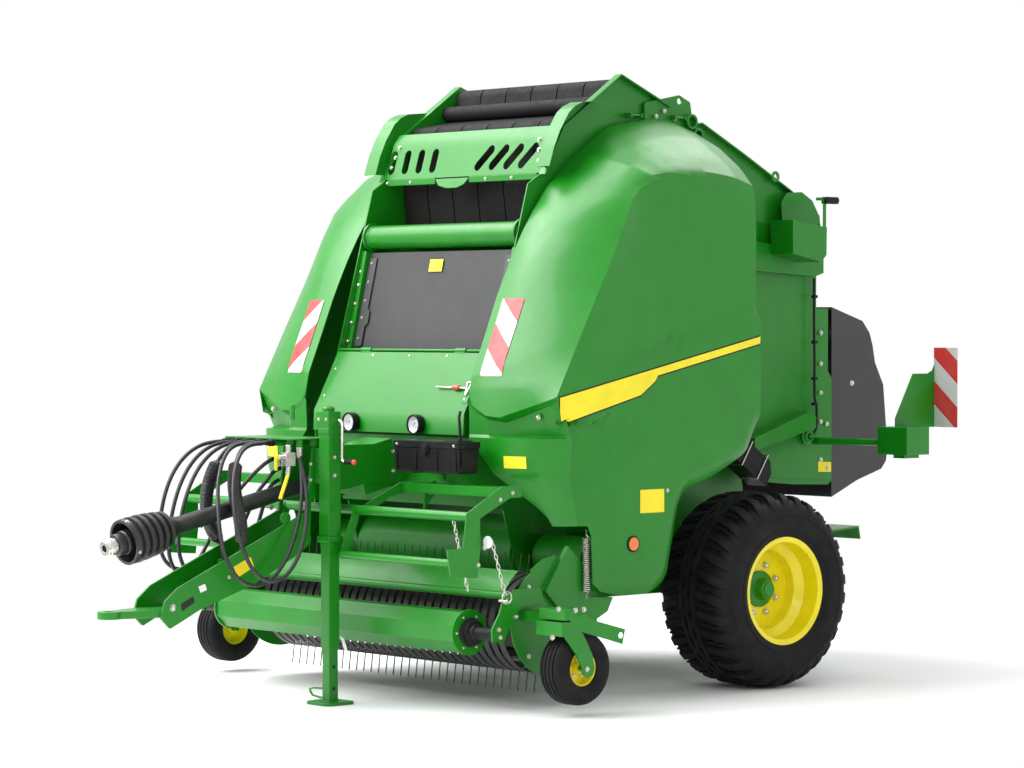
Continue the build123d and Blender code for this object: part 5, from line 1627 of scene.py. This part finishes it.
class BALER_OT_couplings(bpy.types.Operator):
    """Builds the hoses' end fittings, the shut-off valve and its lever"""
    bl_idname = "baler.couplings"
    bl_label = "Hose fittings"

    def execute(self, context):
        steel, black = Shape(), Shape()
        for _, route in HOSES.values():
            last, before = Vector(route[-1]), Vector(route[-2])
            way = (before - last).normalized()
            end, start = at(*last), at(*(last + way * .052))
            steel.turned([(0, .011), (0, .0165), (.010, .0165), (.011, .0145), (.040, .0145), (.042, .0125),
                          (.052, .0125), (.052, .011)], end, start - end, 24)
            black.turned([(-.010, .011), (-.010, .0185), (.014, .0185), (.018, .014), (.034, .0135),
                          (.036, .0105)], at(*route[0]), (0, -1, 0), 24)
        steel.piece("hose_ferrules", "chassis", "plated_steel", bevel=.0008)
        black.piece("gland_nuts", "chassis", "black_plastic", bevel=.0008)
        red = Shape()
        for z in (1.228, 1.116):
            red.turned([(0, .0120), (0, .0205), (.014, .0205), (.016, .018), (.018, .0120)],
                       at(-.156, 2.135, z), (0, -1, 0), 24)
        red.piece("red_rings", "chassis", "signal_red", bevel=.001)
        valve = Shape()
        valve.box(.128, .172, 2.372, 2.430, 1.196, 1.262)
        valve.rod(at(.150, 2.400, 1.262), at(.150, 2.400, 1.300), .015, 20)
        valve.rod(at(.150, 2.398, 1.196), at(.150, 2.404, 1.150), .012, 20)
        valve.rod(at(.150, 2.430, 1.240), at(.150, 2.462, 1.240), .013, 20)
        valve.piece("shut_off_valve", "chassis", "plated_steel", bevel=.003)
        lever = Shape().box(.146, .154, 2.470, 2.486, 1.175, 1.252)
        lever.box(.144, .156, 2.455, 2.486, 1.232, 1.252)
        lever.piece("valve_lever", "chassis", "label_yellow", bevel=.003)
        sleeve = wire(((.150, 2.404, 1.152), (.150, 2.420, 1.110), (.150, 2.442, 1.060),
                       (.150, 2.452, 1.034)), .0095, 12)
        sleeve.piece("yellow_sleeve", "chassis", "label_yellow")
        knob = Shape().rod(at(.126, 2.356, 1.425), at(.126, 2.356, 1.500), .0125, 16)
        knob.turned([(0, 0), (0, .030), (.012, .030), (.012, 0)], at(.118, 2.400, .935), X_AXIS, 28)
        knob.piece("post_top", "chassis", "green_paint", bevel=.0015)
        return {"FINISHED"}


# the labels on the drawbar's sides: name, finish and (ahead, height) corners
DRAWBAR_LABELS = (
    ("warning", "label_yellow", ((2.718, .709), (2.614, .752), (2.592, .703), (2.694, .653))),
    ("square", "label_white", ((2.932, .622), (2.892, .634), (2.881, .604), (2.919, .591))),
    ("plate", "label_black", ((3.037, .543), (2.962, .577), (2.954, .547), (3.029, .507))),
)


class BALER_OT_drawbar_fittings(bpy.types.Operator):
    """Builds the labels and bolts of the drawbar, and the bolts and reflectors of the frame's front"""
    bl_idname = "baler.drawbar_fittings"
    bl_label = "Drawbar fittings"

    def execute(self, context):
        for side, way in SIDES:
            for name, finish, corners in DRAWBAR_LABELS:
                label = Shape().side_plate(way * .1205, corners, way * .0008)
                label.piece(f"drawbar_{name}_{side}", "chassis", finish)
        spots = []
        for size, places in ((.013, ((3.085, .528),)), (.008, ((2.746, .658),)),
                             (.010, ((2.300, .975), (1.70, 1.25), (1.70, 1.15))),
                             (.009, ((2.235, 1.20), (2.235, 1.12)))):
            spots += both_sides(.120, size, places)
        bolts("drawbar_bolts", "chassis", spots)
        spots = both_sides(.448, .007, ((1.763, 1.062), (1.691, 1.062), (1.727, 1.092)))
        spots += both_sides(1.150, .008, ((1.80, 1.08), (1.88, 1.05), (1.98, .82), (2.02, .74)))
        bolts("frame_bolts", "chassis", spots)
        disc = Shape()
        for way in (-1, 1):
            disc.turned([(0, 0), (0, .030), (.006, .030), (.009, .024), (.009, 0)],
                        at(way * 1.186, 1.988, .850), (0, -1, 0), 36)
            disc.rod(at(way * 1.150, 1.986, .850), at(way * 1.180, 1.986, .850), .004, 10)
        disc.piece("round_reflectors", "chassis", "label_white")
        return {"FINISHED"}


# ---------------------------------------------------------------- rear fittings
class BALER_OT_tailgate_fittings(bpy.types.Operator):
    """Builds the cable, bolts, labels, boss and camera of the tailgate"""
    bl_idname = "baler.tailgate_fittings"
    bl_label = "Tailgate fittings"

    def execute(self, context):
        for side, way in SIDES:
            route = ((-.846, 2.150), (-.846, 1.900), (-.850, 1.700), (-.850, 1.500), (-.868, 1.440),
                     (-.868, 1.330), (-.840, 1.290))
            cable = wire([(way * .667, *place) for place in route], .007)
            for z in (2.05, 1.80, 1.60, 1.46):
                cable.box(way * .658, way * .680, -.862, -.834, z - .008, z + .008)
            cable.piece(f"tailgate_cable_{side}", "tailgate", "black_plastic")
            start = at(way * .652, -.805, 1.282)
            boss = Shape().turned([(0, .018), (0, .046), (.010, .046), (.013, .036), (.024, .034),
                                   (.024, .018)], start, (way, 0, 0), 40)
            boss.turned([(0, 0), (.018, 0), (.018, .010), (.030, .010), (.030, 0)], start, (way, 0, 0), 24)
            boss.piece(f"arm_boss_{side}", "tailgate", "green_paint", bevel=.0015)
            corners = ((-.911, 1.139), (-1.015, 1.135), (-1.015, 1.080), (-.911, 1.083))
            label = Shape().side_plate(way * .6385, corners, way * .001)
            label.piece(f"tailgate_label_{side}", "tailgate", "label_yellow")
        spots = both_sides(.638, .010, ((-.930, 1.850), (-.930, 1.680), (-.930, 1.520), (-.930, 1.360),
                                        (-.930, 1.150), (-.980, 1.347), (-.985, 1.100)))
        bolts("tailgate_bolts", "tailgate", spots)
        bolts("shield_bolts", "tailgate",
              both_sides(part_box("rear_shield")[1][0] - .001, .011, ((-1.194, 1.570),)), "label_white")
        head = Shape().box(.826, .870, -.826, -.730, 2.552, 2.590)
        head.turned([(0, 0), (0, .016), (.012, .018), (.012, 0)], at(.848, -.824, 2.572), (0, 1, 0), 20)
        head.piece("camera_head", "tailgate", "black_plastic", bevel=.005, segments=3)
        return {"FINISHED"}


class BALER_OT_roof_fittings(bpy.types.Operator):
    """Builds the pivot tubes and the bolts at the roof's sides"""
    bl_idname = "baler.roof_fittings"
    bl_label = "Roof fittings"

    def execute(self, context):
        shape = Shape()
        for way in (-1, 1):
            for ahead, z, radius in ((.106, 2.972, .040), (.058, 2.902, .036)):
                shape.turned([(0, radius - .012), (0, radius), (.040, radius), (.040, radius - .012),
                              (0, radius - .012)], at(way * .640, ahead, z), (way, 0, 0), 36)
        shape.piece("pivot_tubes", "chassis", "green_paint", bevel=.0015)
        bolts("roof_bolts", "chassis", both_sides(.664, .009, ((.30, 3.02), (.36, 2.99), (.22, 2.985))))
        return {"FINISHED"}


# the chocks' middle as (ahead, height), and their lean
CHOCK = (-.215, 1.166)
CHOCK_LEAN = radians(33.5)


def on_chock(x, along, up):
    """A place given along and across the leaning chocks."""
    c, s = cos(CHOCK_LEAN), sin(CHOCK_LEAN)
    return at(x, CHOCK[0] + along * c - up * s, CHOCK[1] + along * s + up * c)


class BALER_OT_chocks(bpy.types.Operator):
    """Builds the wheel chocks in their wire holders"""
    bl_idname = "baler.chocks"
    bl_label = "Wheel chocks"

    def execute(self, context):
        wires, black = Shape(), Shape()
        for way in (-1, 1):
            outline = [(-.145, -.065), (.145, -.065), (.145, .035), (.120, .065), (-.100, .065),
                       (-.145, .010)]
            black.prism([on_chock(way * .695, *corner) for corner in outline], (way * .136, 0, 0))
            for step in range(5):
                along = -.095 + step * .048
                rib = [(along, .065), (along + .016, .065), (along + .016, .0685), (along, .0685)]
                black.prism([on_chock(way * .700, *corner) for corner in rib], (way * .126, 0, 0))
            for along in (-.060, .080):
                loop = [(.690, -.071), (.690, .076), (.838, .076), (.838, -.071)]
                wires.tube([on_chock(way * x, along, up) for x, up in loop], .0035, 8, closed=True)
        black.piece("chock_blocks", "chassis", "black_plastic", bevel=.004, segments=3,
                    stands_for=("wheel_chocks",))
        wires.piece("chock_wires", "chassis", "plated_steel")
        return {"FINISHED"}


# frame pieces that an operator above stands in for
MADE_ELSEWHERE = {*HOSES, "hose_sleeves", "side_cover_left", "side_cover_right", "tyre_left",
                  "tyre_right", "gauge_tyre_left", "gauge_tyre_right", "pto_guard", "toolbox",
                  "work_lamps", "wheel_chocks"}
# frame pieces whose finish is not the one of their slot
REPAINTED = {"hitch_eye": "green_paint"}
# frame pieces whose edge is not PLAIN_EDGE
EDGE = {"rear_shield": 0.016, "windguard_roller": 0.002, "front_belts": 0.002, "rear_belts": 0.002}


class BALER_OT_plain_nodes(bpy.types.Operator):
    """Rounds the edges of the frame's own pieces and gives them their finishes"""
    bl_idname = "baler.plain_nodes"
    bl_label = "Frame pieces"

    def execute(self, context):
        for node in sorted(frame["nodes"]):
            if node not in MADE_ELSEWHERE:
                dressed_copy(node, EDGE.get(node, PLAIN_EDGE))
        return {"FINISHED"}


class BALER_PT_panel(bpy.types.Panel):
    """Lists the sizes and the steps that build the machine"""
    bl_idname = "BALER_PT_panel"
    bl_label = "Baler"
    bl_space_type = "VIEW_3D"
    bl_region_type = "UI"
    bl_category = "Baler"

    def draw(self, context):
        for group, kind in SETTINGS.items():
            for name in kind.__annotations__:
                self.layout.prop(getattr(context.scene, group), name)
        for step in STEPS:
            self.layout.operator(step.bl_idname)


STEPS = (BALER_OT_stage, BALER_OT_hoses, BALER_OT_sleeves, BALER_OT_side_covers, BALER_OT_main_wheels,
         BALER_OT_gauge_wheels, BALER_OT_tines, BALER_OT_pickup_hangers, BALER_OT_pickup_fittings,
         BALER_OT_drive_shaft, BALER_OT_toolbox, BALER_OT_lamps, BALER_OT_front_panels, BALER_OT_jack,
         BALER_OT_couplings, BALER_OT_drawbar_fittings, BALER_OT_tailgate_fittings, BALER_OT_roof_fittings,
         BALER_OT_chocks, BALER_OT_plain_nodes)
SETTINGS = {"baler_colours": BalerColours, "baler_wheels": BalerWheels, "baler_pickup": BalerPickup,
            "baler_bolts": BalerBolts}
CLASSES = (*SETTINGS.values(), *STEPS, BALER_PT_panel)


def register():
    for cls in CLASSES:
        bpy.utils.register_class(cls)
    for group, kind in SETTINGS.items():
        setattr(bpy.types.Scene, group, PointerProperty(type=kind))


def unregister():
    for group in SETTINGS:
        delattr(bpy.types.Scene, group)
    for cls in reversed(CLASSES):
        bpy.utils.unregister_class(cls)


def main():
    register()
    for step in STEPS:
        group, name = step.bl_idname.split(".")
        getattr(getattr(bpy.ops, group), name)()


if __name__ == "__main__":
    main()
